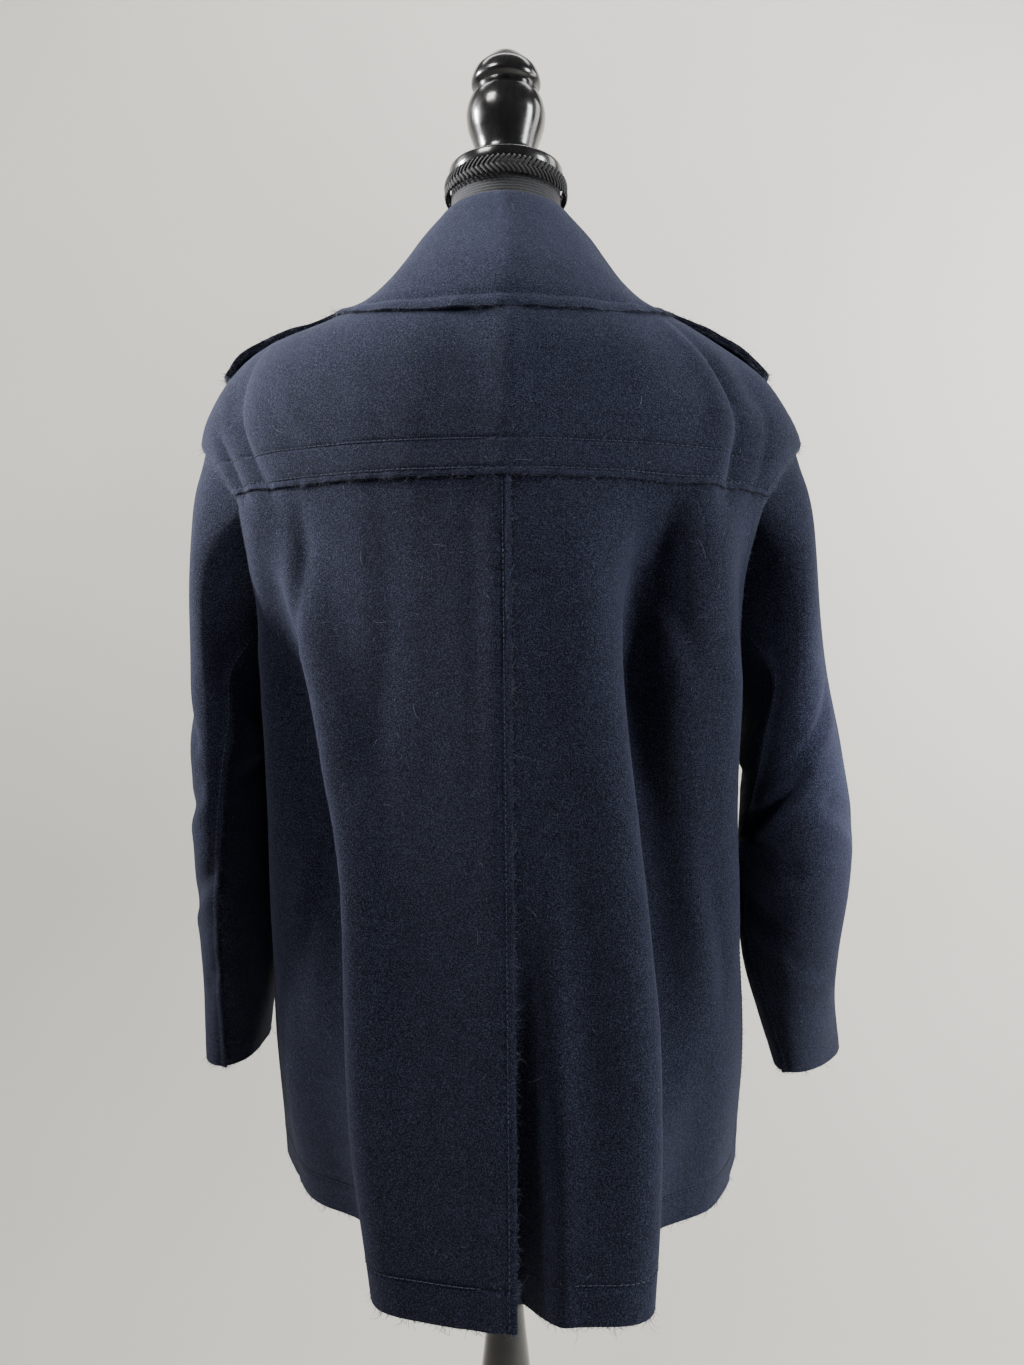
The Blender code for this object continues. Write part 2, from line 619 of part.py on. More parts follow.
def build_patch(name, height, middle, lift, leather):
    """A leather patch with its corners cut, following the coat."""
    columns = np.linspace(-0.5, 0.5, 5) * PATCH_WIDE + middle
    rows = np.array([0.5, 0.28, -0.28, -0.5]) * PATCH_HIGH
    across = np.repeat(columns[::-1][None], len(rows), 0)
    up = np.repeat(rows[:, None], len(columns), 1)
    up[:, [0, -1]] *= 0.72
    points = front_point(height, across, up, np.full(across.shape, lift))
    sheet(name, points, leather, thickness=PATCH_THICK)


def build_toggles(leather, rope, horn):
    under, over = CLOTH + 2 * GAP, LAYER + CLOTH + 2 * GAP
    on_patch = PATCH_THICK + CORD_RADIUS + 3 * GAP
    for number, height in enumerate(TOGGLE_HEIGHTS, 1):
        build_patch(f"toggle_patch_left_{number}", height, PATCH_OUT, under, leather)
        build_patch(f"toggle_patch_right_{number}", height, -PATCH_OUT, over, leather)
        turn = np.radians(np.linspace(90, -90, 7))
        end = [(0.006 + LOOP_HALF * math.cos(a), LOOP_HALF * math.sin(a)) for a in turn]
        start = [(-PATCH_OUT, LOOP_HALF), (LOOP_STRAIGHT, LOOP_HALF)]
        loop = start + end + [(across, -up) for across, up in reversed(start)]
        level = over + on_patch
        line = [front_point(height, u, v, level) for u, v in loop]
        cord(f"toggle_loop_{number}", line, CORD_RADIUS, rope)
        above = level + 2 * CORD_RADIUS + 2 * GAP
        low = under + on_patch
        strand = ((PATCH_OUT + 0.006, low), (0.034, low), (0.019, above), (-0.002, above))
        line = [front_point(height, u, 0.0, w) for u, w in strand]
        cord(f"toggle_cord_{number}", line, CORD_RADIUS, rope)
        across, up, out = frame_at(TOGGLE_ANGLE, height)
        place = front_point(height, 0.0, 0.0, above + CORD_RADIUS + TOGGLE_RADIUS)
        profile = (
            (0, TOGGLE_HALF), (TOGGLE_RADIUS * 0.5, TOGGLE_HALF * 0.96),
            (TOGGLE_RADIUS * 0.78, TOGGLE_HALF * 0.8), (TOGGLE_RADIUS, TOGGLE_HALF * 0.3),
            (TOGGLE_RADIUS, -TOGGLE_HALF * 0.3), (TOGGLE_RADIUS * 0.78, -TOGGLE_HALF * 0.8),
            (TOGGLE_RADIUS * 0.5, -TOGGLE_HALF * 0.96), (0, -TOGGLE_HALF),
        )
        made = turned(f"toggle_{number}", profile, horn, 14)
        turned_onto(made, place, up, across)


# -------------------------------------------------------------------------------------------- dress form

# The padded form below the shoulders; above them it fills the coat's own shape.
TORSO_COLUMNS = ("height", "half", "back", "front")
TORSO = (
    (1.362, 0.196, 0.112, 0.082),
    (1.335, 0.201, 0.118, 0.096),
    (1.300, 0.198, 0.116, 0.110),
    (1.240, 0.182, 0.110, 0.122),
    (1.170, 0.160, 0.104, 0.128),
    (1.100, 0.140, 0.100, 0.112),
    (1.040, 0.132, 0.100, 0.104),
    (0.960, 0.148, 0.112, 0.112),
    (0.880, 0.166, 0.122, 0.118),
    (0.826, 0.166, 0.122, 0.116),
    (0.806, 0.156, 0.114, 0.108),
    (0.800, 0.130, 0.096, 0.090),
)
TORSO_UNDER_COAT = (NECK, 1.446, 1.428, 1.408, 1.388)  # these heights follow the coat
TORSO_CLEARANCE = 0.0006
TORSO_CHEST_CLEARANCE = 0.0030  # more, in front
NECK_ROWS = ((1.547, 0.0490), (1.530, 0.0490), (1.505, 0.0500), (1.484, 0.0535))  # height, radius
TORSO_SIDES = 36


def build_torso(jersey):
    angles = np.arange(TORSO_SIDES) * 360 / TORSO_SIDES
    sine, cosine = np.sin(np.radians(angles)), np.cos(np.radians(angles))
    rings = [np.stack([r * sine, r * cosine, np.full(TORSO_SIDES, z)], -1) for z, r in NECK_ROWS]
    clearance = TORSO_CLEARANCE + TORSO_CHEST_CLEARANCE * eased(-cosine / 0.5)
    for height in TORSO_UNDER_COAT:
        rings.append(moved_out(angles, height, -clearance))
    for height, half, back, front in TORSO:
        deep = np.where(cosine >= 0, back, front)
        rings.append(np.stack([half * sine, deep * cosine, np.full(TORSO_SIDES, height)], -1))
    rings = np.stack(rings)
    add_object("dress_form", capped(grid_mesh("dress_form", rings, wrap=True), TORSO_SIDES), jersey)


# ------------------------------------------------------------------------------------------------- stand

TURNED_COLUMNS = ("height", "radius")
FINIAL = (
    (1.6670, 0.0), (1.6640, 0.0110), (1.6590, 0.0170), (1.6520, 0.0245), (1.6480, 0.0285),
    (1.6390, 0.0317), (1.6345, 0.0310), (1.6315, 0.0268), (1.6270, 0.0292), (1.6210, 0.0332),
    (1.6100, 0.0360), (1.5980, 0.0348), (1.5870, 0.0308), (1.5800, 0.0282), (1.5715, 0.0262),
    (1.5650, 0.0300), (1.5605, 0.0430), (1.5585, 0.0505), (1.5560, 0.0515), (1.5500, 0.0515),
    (1.5475, 0.0500), (1.5475, 0.0),
)
POLE = ((0.7994, 0.0), (0.7994, 0.0130), (0.5700, 0.0130), (0.5700, 0.0))
COLUMN = (
    (0.5694, 0.0), (0.5694, 0.0150), (0.5450, 0.0153), (0.5200, 0.0178), (0.4860, 0.0220),
    (0.4500, 0.0250), (0.4000, 0.0285), (0.3400, 0.0300), (0.2600, 0.0270), (0.1900, 0.0235),
    (0.1500, 0.0230), (0.1380, 0.0290), (0.1260, 0.0290), (0.1160, 0.0240), (0.1040, 0.0330),
    (0.0850, 0.0360), (0.0700, 0.0340), (0.0400, 0.0280), (0.0304, 0.0280), (0.0304, 0.0),
)
BASE = (
    (0.0300, 0.0), (0.0300, 0.0500), (0.0240, 0.0800), (0.0190, 0.1500), (0.0160, 0.1820),
    (0.0120, 0.1900), (0.0030, 0.1900), (0.0, 0.1880), (0.0, 0.0),
)
BRAID = (
    (1.5470, 0.0498), (1.5470, 0.0530), (1.5440, 0.0548),
    (1.5365, 0.0548), (1.5335, 0.0535), (1.5335, 0.0498),
)


def build_ring(name, rows, material, sides=36):
    """A ring turned from a closed profile, listed clockwise seen from the back."""
    angles = np.arange(sides) * 360 / sides
    sine, cosine = np.sin(np.radians(angles)), np.cos(np.radians(angles))
    points = np.stack([np.stack([r * sine, r * cosine, np.full(sides, z)], -1) for z, r in rows])
    faces = []
    for row in range(len(rows)):
        below = (row + 1) % len(rows)
        for i in range(sides):
            j = (i + 1) % sides
            faces.append((row * sides + i, row * sides + j, below * sides + j, below * sides + i))
    mesh = bpy.data.meshes.new(name)
    mesh.from_pydata(points.reshape(-1, 3).tolist(), [], faces)
    mesh.shade_smooth()
    add_object(name, mesh, material)


def build_stand(lacquer, steel, braid):
    for name, rows, material, sides in (
        ("finial", FINIAL, lacquer, 26), ("pole", POLE, steel, 20), ("column", COLUMN, lacquer, 24),
        ("base", BASE, lacquer, 40),
    ):
        turned(name, [(radius, height) for height, radius in rows], material, sides)
    build_ring("neck_braid", BRAID, braid)


def main():
    for old in list(bpy.data.objects):
        bpy.data.objects.remove(old)
    bpy.context.scene.collection.children.link(bpy.data.collections.new(COLLECTION))
    wool = new_material("navy wool", (0.020, 0.024, 0.050), 0.95)
    horn = new_material("brown horn", (0.120, 0.055, 0.028), 0.35)
    leather = new_material("black leather", (0.012, 0.011, 0.012), 0.55)
    rope = new_material("dark cord", (0.020, 0.018, 0.020), 0.85)
    jersey = new_material("charcoal jersey", (0.030, 0.030, 0.034), 0.9)
    braid = new_material("black braid", (0.008, 0.008, 0.009), 0.7)
    lacquer = new_material("black lacquered wood", (0.006, 0.006, 0.007), 0.22)
    steel = new_material("dark steel", (0.030, 0.030, 0.034), 0.3, 1.0)
    build_backs(wool)
    build_yoke(wool)
    build_fronts(wool)
    build_sleeve("left", wool)
    build_sleeve("right", wool)
    build_collar(wool)
    build_epaulettes(wool, horn)
    build_toggles(leather, rope, horn)
    build_torso(jersey)
    build_stand(lacquer, steel, braid)


main()
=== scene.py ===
"""A thigh-length navy wool toggle coat, seen from the back on a limbless dress form.

Metres, +Z up. The wearer faces -Y, and the wearer's left is +X. Angles round the body are in degrees,
from the centre back towards the wearer's left. The comment above each table names its columns.
"""

import math

import bpy
import numpy as np
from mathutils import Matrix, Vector


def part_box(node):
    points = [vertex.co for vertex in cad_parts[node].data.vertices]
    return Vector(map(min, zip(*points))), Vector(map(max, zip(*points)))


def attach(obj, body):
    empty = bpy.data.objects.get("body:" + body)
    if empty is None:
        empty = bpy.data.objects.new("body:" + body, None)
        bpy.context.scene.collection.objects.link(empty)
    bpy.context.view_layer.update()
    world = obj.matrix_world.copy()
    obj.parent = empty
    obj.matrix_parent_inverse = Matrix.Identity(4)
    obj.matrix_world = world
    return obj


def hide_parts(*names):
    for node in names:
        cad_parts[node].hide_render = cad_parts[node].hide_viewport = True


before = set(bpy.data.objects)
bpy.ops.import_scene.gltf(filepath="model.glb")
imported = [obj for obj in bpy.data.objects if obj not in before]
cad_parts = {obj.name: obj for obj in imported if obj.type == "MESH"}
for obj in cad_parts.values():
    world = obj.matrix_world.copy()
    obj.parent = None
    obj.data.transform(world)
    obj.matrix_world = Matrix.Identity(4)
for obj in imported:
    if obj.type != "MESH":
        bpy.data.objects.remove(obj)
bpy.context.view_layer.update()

# Cloth and clearances.
CLOTH = 0.002  # one layer of wool melton
GAP = 0.0004  # between pieces that touch
LAYER = CLOTH + GAP  # how far out the next layer of cloth lies

# The coat's heights above the floor.
NECK = 1.462
SHOULDER_TIP = 1.315
YOKE_TOP_OF_BACK = 1.280  # the back panels run this far up under the yoke
YOKE_EDGE = 1.255
UNDERARM = 1.090
VENT_TOP = 0.775
HEM = 0.657
NECK_DROP = 0.062  # how much lower the neckline is at the centre front

# The body's horizontal sections, half-ellipses wider on the wearer's left or right and deeper at the back
# or the front: height, left, right, back, front.
SECTIONS = (
    (0.657, 0.197, 0.203, 0.222, 0.190),
    (0.760, 0.210, 0.212, 0.205, 0.183),
    (0.880, 0.213, 0.208, 0.188, 0.177),
    (1.000, 0.211, 0.205, 0.175, 0.173),
    (1.120, 0.212, 0.207, 0.164, 0.171),
    (1.200, 0.226, 0.220, 0.157, 0.166),
    (1.250, 0.247, 0.241, 0.153, 0.157),
    (1.280, 0.260, 0.252, 0.150, 0.148),
    (1.310, 0.265, 0.256, 0.147, 0.136),
    (1.335, 0.257, 0.244, 0.143, 0.122),
    (1.360, 0.241, 0.225, 0.138, 0.105),
    (1.380, 0.218, 0.200, 0.131, 0.088),
    (1.400, 0.171, 0.166, 0.119, 0.073),
    (1.420, 0.126, 0.126, 0.098, 0.066),
    (1.440, 0.092, 0.092, 0.081, 0.063),
    (1.462, 0.072, 0.072, 0.067, 0.060),
)

# The long folds: the half-width of each one's bell-shaped section, in degrees, and its stations. These are
# height, angle and how far the fold swells out there, or sinks in below zero.
FOLDS = (
    (25, (
        (0.657, 60, -0.058), (0.740, 61, -0.040), (0.850, 62, -0.025), (1.000, 62, -0.013),
        (1.120, 62, 0.0))),
    (7, (
        (0.657, 26, 0.004), (0.794, 30, 0.011), (0.900, 32, 0.013), (1.000, 36, 0.013),
        (1.090, 42, 0.012), (1.160, 47, 0.010), (1.220, 51, 0.0))),
    (9, (
        (0.780, 48, 0.0), (0.900, 50, -0.010), (1.000, 54, -0.014), (1.100, 60, -0.011),
        (1.190, 65, 0.0))),
    (22, (
        (0.657, -56, -0.056), (0.740, -57, -0.036), (0.850, -57, -0.021), (1.000, -55, -0.012),
        (1.100, -52, 0.0))),
    (9, (
        (0.657, -27, 0.018), (0.820, -28, 0.012), (0.980, -24, 0.009), (1.090, -20, 0.008),
        (1.180, -18, 0.006), (1.265, -17, 0.0))),
    (7, (
        (0.930, -38, 0.0), (1.000, -37, -0.010), (1.050, -35, -0.018), (1.120, -33, -0.024),
        (1.190, -32, -0.020), (1.262, -32, 0.0))),
    (9, (
        (0.800, -70, 0.006), (0.930, -67, 0.011), (1.000, -64, 0.013), (1.080, -60, 0.015),
        (1.150, -53, 0.015), (1.215, -47, 0.012), (1.262, -43, 0.0))),
    (8, (
        (0.760, -48, 0.0), (0.850, -47, -0.010), (0.950, -44, -0.015), (1.040, -42, -0.010),
        (1.120, -41, 0.0))),
    (7, (
        (1.245, -52, 0.0), (1.285, -53, -0.007), (1.330, -56, -0.007), (1.380, -58, 0.0))),
    (7, (
        (1.245, 54, 0.0), (1.285, 56, -0.005), (1.330, 60, -0.005), (1.380, 62, 0.0))),
    (8, (
        (0.800, 76, 0.005), (0.930, 74, 0.008), (1.080, 70, 0.012), (1.160, 64, 0.014),
        (1.215, 59, 0.013), (1.262, 56, 0.0))),
    (12, (
        (0.657, 112, 0.026), (0.760, 110, 0.014), (0.880, 104, 0.004), (1.000, 104, 0.0))),
    (12, (
        (0.657, -110, 0.026), (0.760, -108, 0.014), (0.880, -104, 0.004), (1.000, -104, 0.0))),
    (10, (
        (0.657, 134, -0.026), (0.850, 135, -0.018), (1.000, 136, -0.009), (1.120, 137, 0.0))),
    (10, (
        (0.657, -131, -0.024), (0.850, -133, -0.016), (1.000, -135, -0.008), (1.120, -136, 0.0))),
    (9, (
        (0.657, 155, 0.010), (0.850, 156, 0.007), (1.050, 157, 0.0))),
    (9, (
        (0.657, -152, 0.011), (0.850, -154, 0.007), (1.050, -156, 0.0))),
)

# The centre back seam: the left back laps over the right one, and the right one sinks behind the vent.
LAP_UNDER = 2.0  # where the right back ends, under the left one
LAP_EDGE_TOP, LAP_EDGE_HEM = -1.0, -2.6  # the left back's raw edge
VENT_UNDERLAP = 10.0  # how far the right back reaches below the vent's top
VENT_DROPS = (
    (HEM, -0.044), (0.720, -0.032), (VENT_TOP, -0.021), (0.835, -0.013), (0.920, -0.006), (1.0, -0.001),
    (1.05, 0.0),
)
VENT_FADE = (-12.0, -4.0)  # the sinking fades out between these angles

# The armhole, a closed curve on the body: height, and the angle of its back and its front edge.
ARMHOLE = (
    (SHOULDER_TIP, 97, 97),
    (YOKE_TOP_OF_BACK, 67, 117),
    (YOKE_EDGE, 62, 121),
    (1.210, 65, 121),
    (1.160, 69, 117),
    (1.115, 77, 106),
    (UNDERARM, 90, 90),
)
ARMHOLE_MIDDLE, ARMHOLE_HALF = (SHOULDER_TIP + UNDERARM) / 2, (SHOULDER_TIP - UNDERARM) / 2
SHOULDER_EDGE = 97.0  # the yoke's raw edge, just in front of the shoulder line
SHOULDER_TUCK = 91.0  # the fronts run this far back under it

# The fronts overlap by this angle each side of the centre, the wearer's right over the left.
FRONT_LAP = 12.0

# The collar, the same on both sides: angle, the roll's distance from the neck's middle and its height,
# its edge's angle, height and lift off the body, and how far the fall rounds out between.
COLLAR = (
    (0, 0.065, 1.511, 0, 1.386, 0.0096, 0.007),
    (30, 0.062, 1.511, 30, 1.389, 0.0090, 0.000),
    (55, 0.059, 1.511, 52, 1.400, 0.0088, -0.010),
    (75, 0.058, 1.511, 73, 1.410, 0.0092, -0.010),
    (90, 0.058, 1.509, 90, 1.411, 0.0090, -0.010),
    (110, 0.061, 1.502, 110, 1.400, 0.0085, -0.007),
    (130, 0.066, 1.488, 130, 1.378, 0.0090, -0.001),
    (150, 0.073, 1.463, 146, 1.348, 0.0080, 0.003),
    (171, 0.079, 1.436, 161, 1.314, 0.0085, 0.004),
)
COLLAR_RISE = 0.0016  # how far its foot is above the neck seam
SWELL_SKEW = 1.6  # the swell is greatest nearer the edge
ROLL_IN, ROLL_OUT, ROLL_FALL = 0.0035, 0.0045, 0.0045  # the roll's soft turn
COLLAR_REST = 0.0022  # how much nearer its lower edge lies to the yoke than its solid

# The epaulettes: height, the angles of the back and the front edge, and the lift off the body.
EPAULETTE = (
    (1.3985, 77, 105, 0.0050),
    (1.3940, 77, 105, 0.0062),
    (1.389, 78, 104, 0.0068),
    (1.378, 79, 103, 0.0070),
    (1.369, 80, 102, 0.0068),
    (1.360, 82, 100, 0.0050),
)
EPAULETTE_TOP = 1.4115  # the strap runs on this far up, under the collar
EPAULETTE_TURN = 5.0  # its back edge lies this much further back than its solid's
BUTTON_PLACE = (1.397, 91.0)  # height and angle
BUTTON_RADIUS, BUTTON_THICK = 0.0100, 0.0040

# Each sleeve's rings from the shoulder to the cuff: the middle's distance out, back and up, the half-size
# across the arm and from front to back, how far the plane tips up towards the outside, how it turns about
# the vertical so that its front swings out, and how far the seams wind round it.
SLEEVES = {
    "left": (
        (0.2470, -0.004, 1.1600, 0.096, 0.080, 73, 0, 0),
        (0.2445, -0.003, 1.0850, 0.054, 0.081, 52, 0, -8),
        (0.2430, -0.003, 1.0200, 0.033, 0.082, 20, 0, -16),
        (0.2430, -0.008, 0.9500, 0.0310, 0.079, 0, 0, -26),
        (0.2430, -0.020, 0.8800, 0.0300, 0.073, 0, 0, -36),
        (0.2460, -0.034, 0.8150, 0.0270, 0.068, 0, 0, -34),
        (0.2500, -0.044, 0.7630, 0.0240, 0.064, 0, 0, -27),
    ),
    "right": (
        (0.2420, -0.004, 1.1600, 0.096, 0.080, 73, 0, 0),
        (0.2460, -0.003, 1.0850, 0.056, 0.080, 52, 0, 12),
        (0.2550, -0.003, 1.0300, 0.044, 0.078, 24, 2, 26),
        (0.2600, -0.006, 0.9750, 0.0480, 0.073, 8, 6, 36),
        (0.2610, -0.014, 0.9150, 0.0490, 0.067, 0, 12, 28),
        (0.2630, -0.026, 0.8500, 0.0430, 0.063, 0, 18, 8),
        (0.2710, -0.036, 0.7980, 0.0340, 0.062, 0, 25, -12),
        (0.2820, -0.043, 0.7530, 0.0260, 0.062, 0, 30, -26),
    ),
}
SEAM_RING = 1.146  # the armhole's height where the sleeve's two seams start
TUCK = 0.0008  # the sleeve head starts this far inside the body's edge
HEAD_IN, HEAD_OUT = 0.010, 0.004  # and comes out of the armhole by this much
SLEEVE_STEPS = 13  # rows of points between two rings
SEAM_LAP_TURN = 7.0  # the upper half laps over the under one by this at the elbow seam

TOGGLE_HEIGHTS = (1.245, 1.120, 0.995)
TOGGLE_ANGLE = 167.0
METRES_PER_DEGREE = 0.0030  # round the chest
PATCH_WIDE, PATCH_HIGH, PATCH_THICK = 0.030, 0.036, 0.0025
PATCH_OUT = 0.052  # from the toggle's middle to each patch's middle
CORD_RADIUS = 0.0016
LOOP_HALF = 0.0070  # half the loop's width
LOOP_STRAIGHT, LOOP_END = -0.030, 0.006  # its sides run straight up to here, and its end's middle is here
TOGGLE_HALF, TOGGLE_RADIUS = 0.025, 0.0062

# Turned shapes: height and radius, from the top down.
FINIAL = (
    (1.6670, 0.0), (1.6640, 0.0110), (1.6590, 0.0170), (1.6520, 0.0245), (1.6480, 0.0285),
    (1.6390, 0.0317), (1.6345, 0.0310), (1.6315, 0.0268), (1.6270, 0.0292), (1.6210, 0.0332),
    (1.6100, 0.0360), (1.5980, 0.0348), (1.5870, 0.0308), (1.5800, 0.0282), (1.5715, 0.0262),
    (1.5650, 0.0300), (1.5605, 0.0430), (1.5585, 0.0505), (1.5560, 0.0515), (1.5500, 0.0515),
    (1.5475, 0.0500), (1.5475, 0.0),
)
POLE = ((0.7994, 0.0), (0.7994, 0.0130), (0.5700, 0.0130), (0.5700, 0.0))
COLUMN = (
    (0.5694, 0.0), (0.5694, 0.0150), (0.5450, 0.0153), (0.5200, 0.0178), (0.4860, 0.0220),
    (0.4500, 0.0250), (0.4000, 0.0285), (0.3400, 0.0300), (0.2600, 0.0270), (0.1900, 0.0235),
    (0.1500, 0.0230), (0.1380, 0.0290), (0.1260, 0.0290), (0.1160, 0.0240), (0.1040, 0.0330),
    (0.0850, 0.0360), (0.0700, 0.0340), (0.0400, 0.0280), (0.0304, 0.0280), (0.0304, 0.0),
)
BASE = (
    (0.0300, 0.0), (0.0300, 0.0500), (0.0240, 0.0800), (0.0190, 0.1500), (0.0160, 0.1820),
    (0.0120, 0.1900), (0.0030, 0.1900), (0.0, 0.1880), (0.0, 0.0),
)

# The padded form below the shoulders; above them it fills the coat's own shape: height, half the width,
# and the depths at the back and in front.
TORSO = (
    (1.362, 0.196, 0.112, 0.082),
    (1.335, 0.201, 0.118, 0.096),
    (1.300, 0.198, 0.116, 0.110),
    (1.240, 0.182, 0.110, 0.122),
    (1.170, 0.160, 0.104, 0.128),
    (1.100, 0.140, 0.100, 0.112),
    (1.040, 0.132, 0.100, 0.104),
    (0.960, 0.148, 0.112, 0.112),
    (0.880, 0.166, 0.122, 0.118),
    (0.826, 0.166, 0.122, 0.116),
    (0.806, 0.156, 0.114, 0.108),
    (0.800, 0.130, 0.096, 0.090),
)
FORM_UNDER_COAT = np.linspace(NECK, 1.388, 9)  # these heights follow the coat
FORM_CLEARANCE = 0.0030  # from the cloth's inner face
FORM_CHEST_CLEARANCE = 0.0030  # more, in front
NECK_ROWS = ((1.547, 0.0490), (1.530, 0.0490), (1.505, 0.0500), (1.484, 0.0535))  # height, radius

# Soft creases on the body: the distance across and the height of both ends, the width, how far the line
# bows sideways, and the depth.
BACK_CREASES = (
    (0.224, 1.345, 0.172, 1.240, 0.0095, 0.006, -0.0034),
    (0.235, 1.315, 0.205, 1.245, 0.0065, 0.003, -0.0024),
    (0.222, 1.375, 0.182, 1.270, 0.0060, 0.002, -0.0022),
    (0.130, 1.275, 0.165, 1.330, 0.0080, 0.003, -0.0012),
    (-0.168, 1.385, -0.166, 1.235, 0.0110, 0.004, -0.0080),
    (-0.212, 1.330, -0.200, 1.250, 0.0060, 0.001, -0.0014),
    (-0.120, 1.290, -0.150, 1.345, 0.0080, -0.003, -0.0012),
    (0.150, 1.245, 0.190, 1.090, 0.009, 0.006, -0.0030),
    (-0.120, 1.250, -0.172, 1.100, 0.010, -0.006, -0.0035),
    (0.080, 1.245, 0.095, 1.050, 0.014, 0.003, -0.0018),
    (-0.075, 1.245, -0.070, 1.000, 0.014, 0.004, -0.0016),
    (0.045, 1.150, 0.050, 0.820, 0.016, -0.003, -0.0014),
    (-0.045, 1.000, -0.060, 0.740, 0.014, 0.003, -0.0018),
    (0.120, 1.060, 0.140, 0.800, 0.014, 0.005, -0.0020),
    (-0.130, 0.980, -0.160, 0.760, 0.014, -0.004, -0.0022),
    (0.190, 1.000, 0.230, 0.860, 0.010, 0.004, -0.0020),
    (-0.200, 0.960, -0.240, 0.820, 0.010, 0.004, -0.0020),
)
FRONT_CREASES = (
    (0.400, 1.300, 0.470, 1.200, 0.010, 0.004, -0.0025),
    (-0.400, 1.300, -0.470, 1.200, 0.010, -0.004, -0.0025),
    (0.420, 1.120, 0.450, 0.900, 0.014, 0.004, -0.0025),
    (-0.420, 1.100, -0.440, 0.860, 0.014, -0.004, -0.0025),
    (0.500, 1.000, 0.520, 0.780, 0.014, 0.004, -0.0020),
    (-0.500, 1.020, -0.530, 0.760, 0.014, -0.004, -0.0020),
)
# The sharp flanks of the drape's folds: height, angle, the spreads before and after that angle, depth.
PLEATS = (
    (  # beside the right ridge
        (0.657, -42, 12, 6, -0.006), (0.720, -41, 13, 6, -0.020), (0.790, -40, 13, 6, -0.032),
        (0.850, -39, 12, 5, -0.036), (0.950, -37, 10, 4.5, -0.032), (1.050, -34, 8, 4.5, -0.022),
        (1.130, -33, 7, 5, -0.014), (1.230, -32, 7, 6, 0.0)),
    (  # the right ridge's crest
        (0.657, -27, 5, 8, 0.004), (0.850, -28, 4, 8, 0.007), (1.000, -25, 4, 8, 0.006),
        (1.180, -20, 4, 8, 0.0)),
    (  # beside the left ridge
        (0.657, 44, 8, 18, -0.012), (0.720, 44, 8, 18, -0.022), (0.790, 44, 8, 18, -0.033),
        (0.850, 43, 7, 16, -0.034), (0.950, 43, 6, 13, -0.030), (1.050, 48, 6, 11, -0.020),
        (1.150, 56, 7, 10, -0.008), (1.240, 60, 7, 8, 0.0)),
    (  # the left ridge's crest
        (0.657, 28, 8, 5, 0.003), (0.850, 30, 8, 4, 0.005), (1.000, 34, 8, 4, 0.005),
        (1.150, 44, 8, 5, 0.004), (1.240, 50, 8, 5, 0.0)),
)
# Short slanting creases on the sleeves: the turn and the ring of both ends, the width and the depth.
SLEEVE_CREASES = {
    "left": (
        (20, 2.2, 80, 2.7, 0.16, -0.0035),
        (30, 3.6, 95, 3.2, 0.14, -0.0030),
        (60, 4.6, 120, 4.1, 0.16, -0.0035),
        (-30, 4.2, 30, 4.7, 0.16, -0.0025),
        (100, 5.6, 150, 5.1, 0.18, -0.0025),
        (200, 2.0, 150, 2.9, 0.20, -0.0035),
        (-60, 3.0, -20, 3.6, 0.18, -0.0025),
    ),
    "right": (
        (70, 3.0, 140, 4.2, 0.16, -0.0060),
        (60, 4.6, 130, 4.0, 0.16, -0.0045),
        (30, 2.3, 95, 2.9, 0.16, -0.0035),
        (80, 5.4, 130, 5.0, 0.16, -0.0035),
        (-20, 4.2, 40, 3.6, 0.16, -0.0030),
        (20, 6.2, 80, 5.8, 0.18, -0.0025),
        (210, 2.2, 160, 3.0, 0.20, -0.0035),
    ),
}
CREASE_TURN = 60  # degrees of turn that count as one ring there
DEGREE = 0.0036  # metres along the back for a degree
YOKE_STITCH = (0.0055, 0.028)  # above the yoke's raw edge
HEM_STITCH = 0.026
SEAM_STITCH = 0.0055
GROOVE_WIDTH, GROOVE_DEPTH = 0.0015, 0.0009  # a stitch row sinks in by this
ROLL_PLACE, ROLL_WIDTH = 0.0026, 0.0020  # the soft roll between a raw edge and its stitches
COLLAR_FALL = 0.125  # the length of the collar's face, over its roll and down
SEAM_GAP = 0.105  # degrees between two panels


# --------------------------------------------------------------------------------- shared surfaces


def columns_of(table):
    """The columns of a table, its rows sorted by the first."""
    return np.array(sorted(table), float).T


def unit(vectors):
    return vectors / np.maximum(np.linalg.norm(vectors, axis=-1, keepdims=True), 1e-12)


def smooth(knots, values, at):
    """A smooth curve through the knots, read at each place; it stays level past the ends."""
    slopes = np.gradient(values, knots)
    at = np.clip(at, knots[0], knots[-1])
    i = np.clip(np.searchsorted(knots, at) - 1, 0, len(knots) - 2)
    span = knots[i + 1] - knots[i]
    t = (at - knots[i]) / span
    return (
        values[i] * (1 + 2 * t) * (1 - t) ** 2
        + values[i + 1] * t * t * (3 - 2 * t)
        + span * (slopes[i] * t * (1 - t) ** 2 - slopes[i + 1] * t * t * (1 - t))
    )


def eased(t):
    """0 to 1 with a soft start and end."""
    t = np.clip(t, 0.0, 1.0)
    return t * t * (3 - 2 * t)


def bell(distance, width):
    return np.exp(-((distance / width) ** 2))


def away_from(middle, angle):
    """The turn from one angle to another, from -180 to 180 degrees."""
    return (angle - middle + 180) % 360 - 180


def fold_depth(angle, height):
    """How far the folds move the body's surface outwards."""
    depth = np.zeros(np.broadcast(angle, height).shape)
    for spread, stations in FOLDS:
        heights, angles, depths = columns_of(stations)
        away = away_from(np.interp(height, heights, angles), angle)
        depth += smooth(heights, depths, height) * bell(away, spread)
    return depth


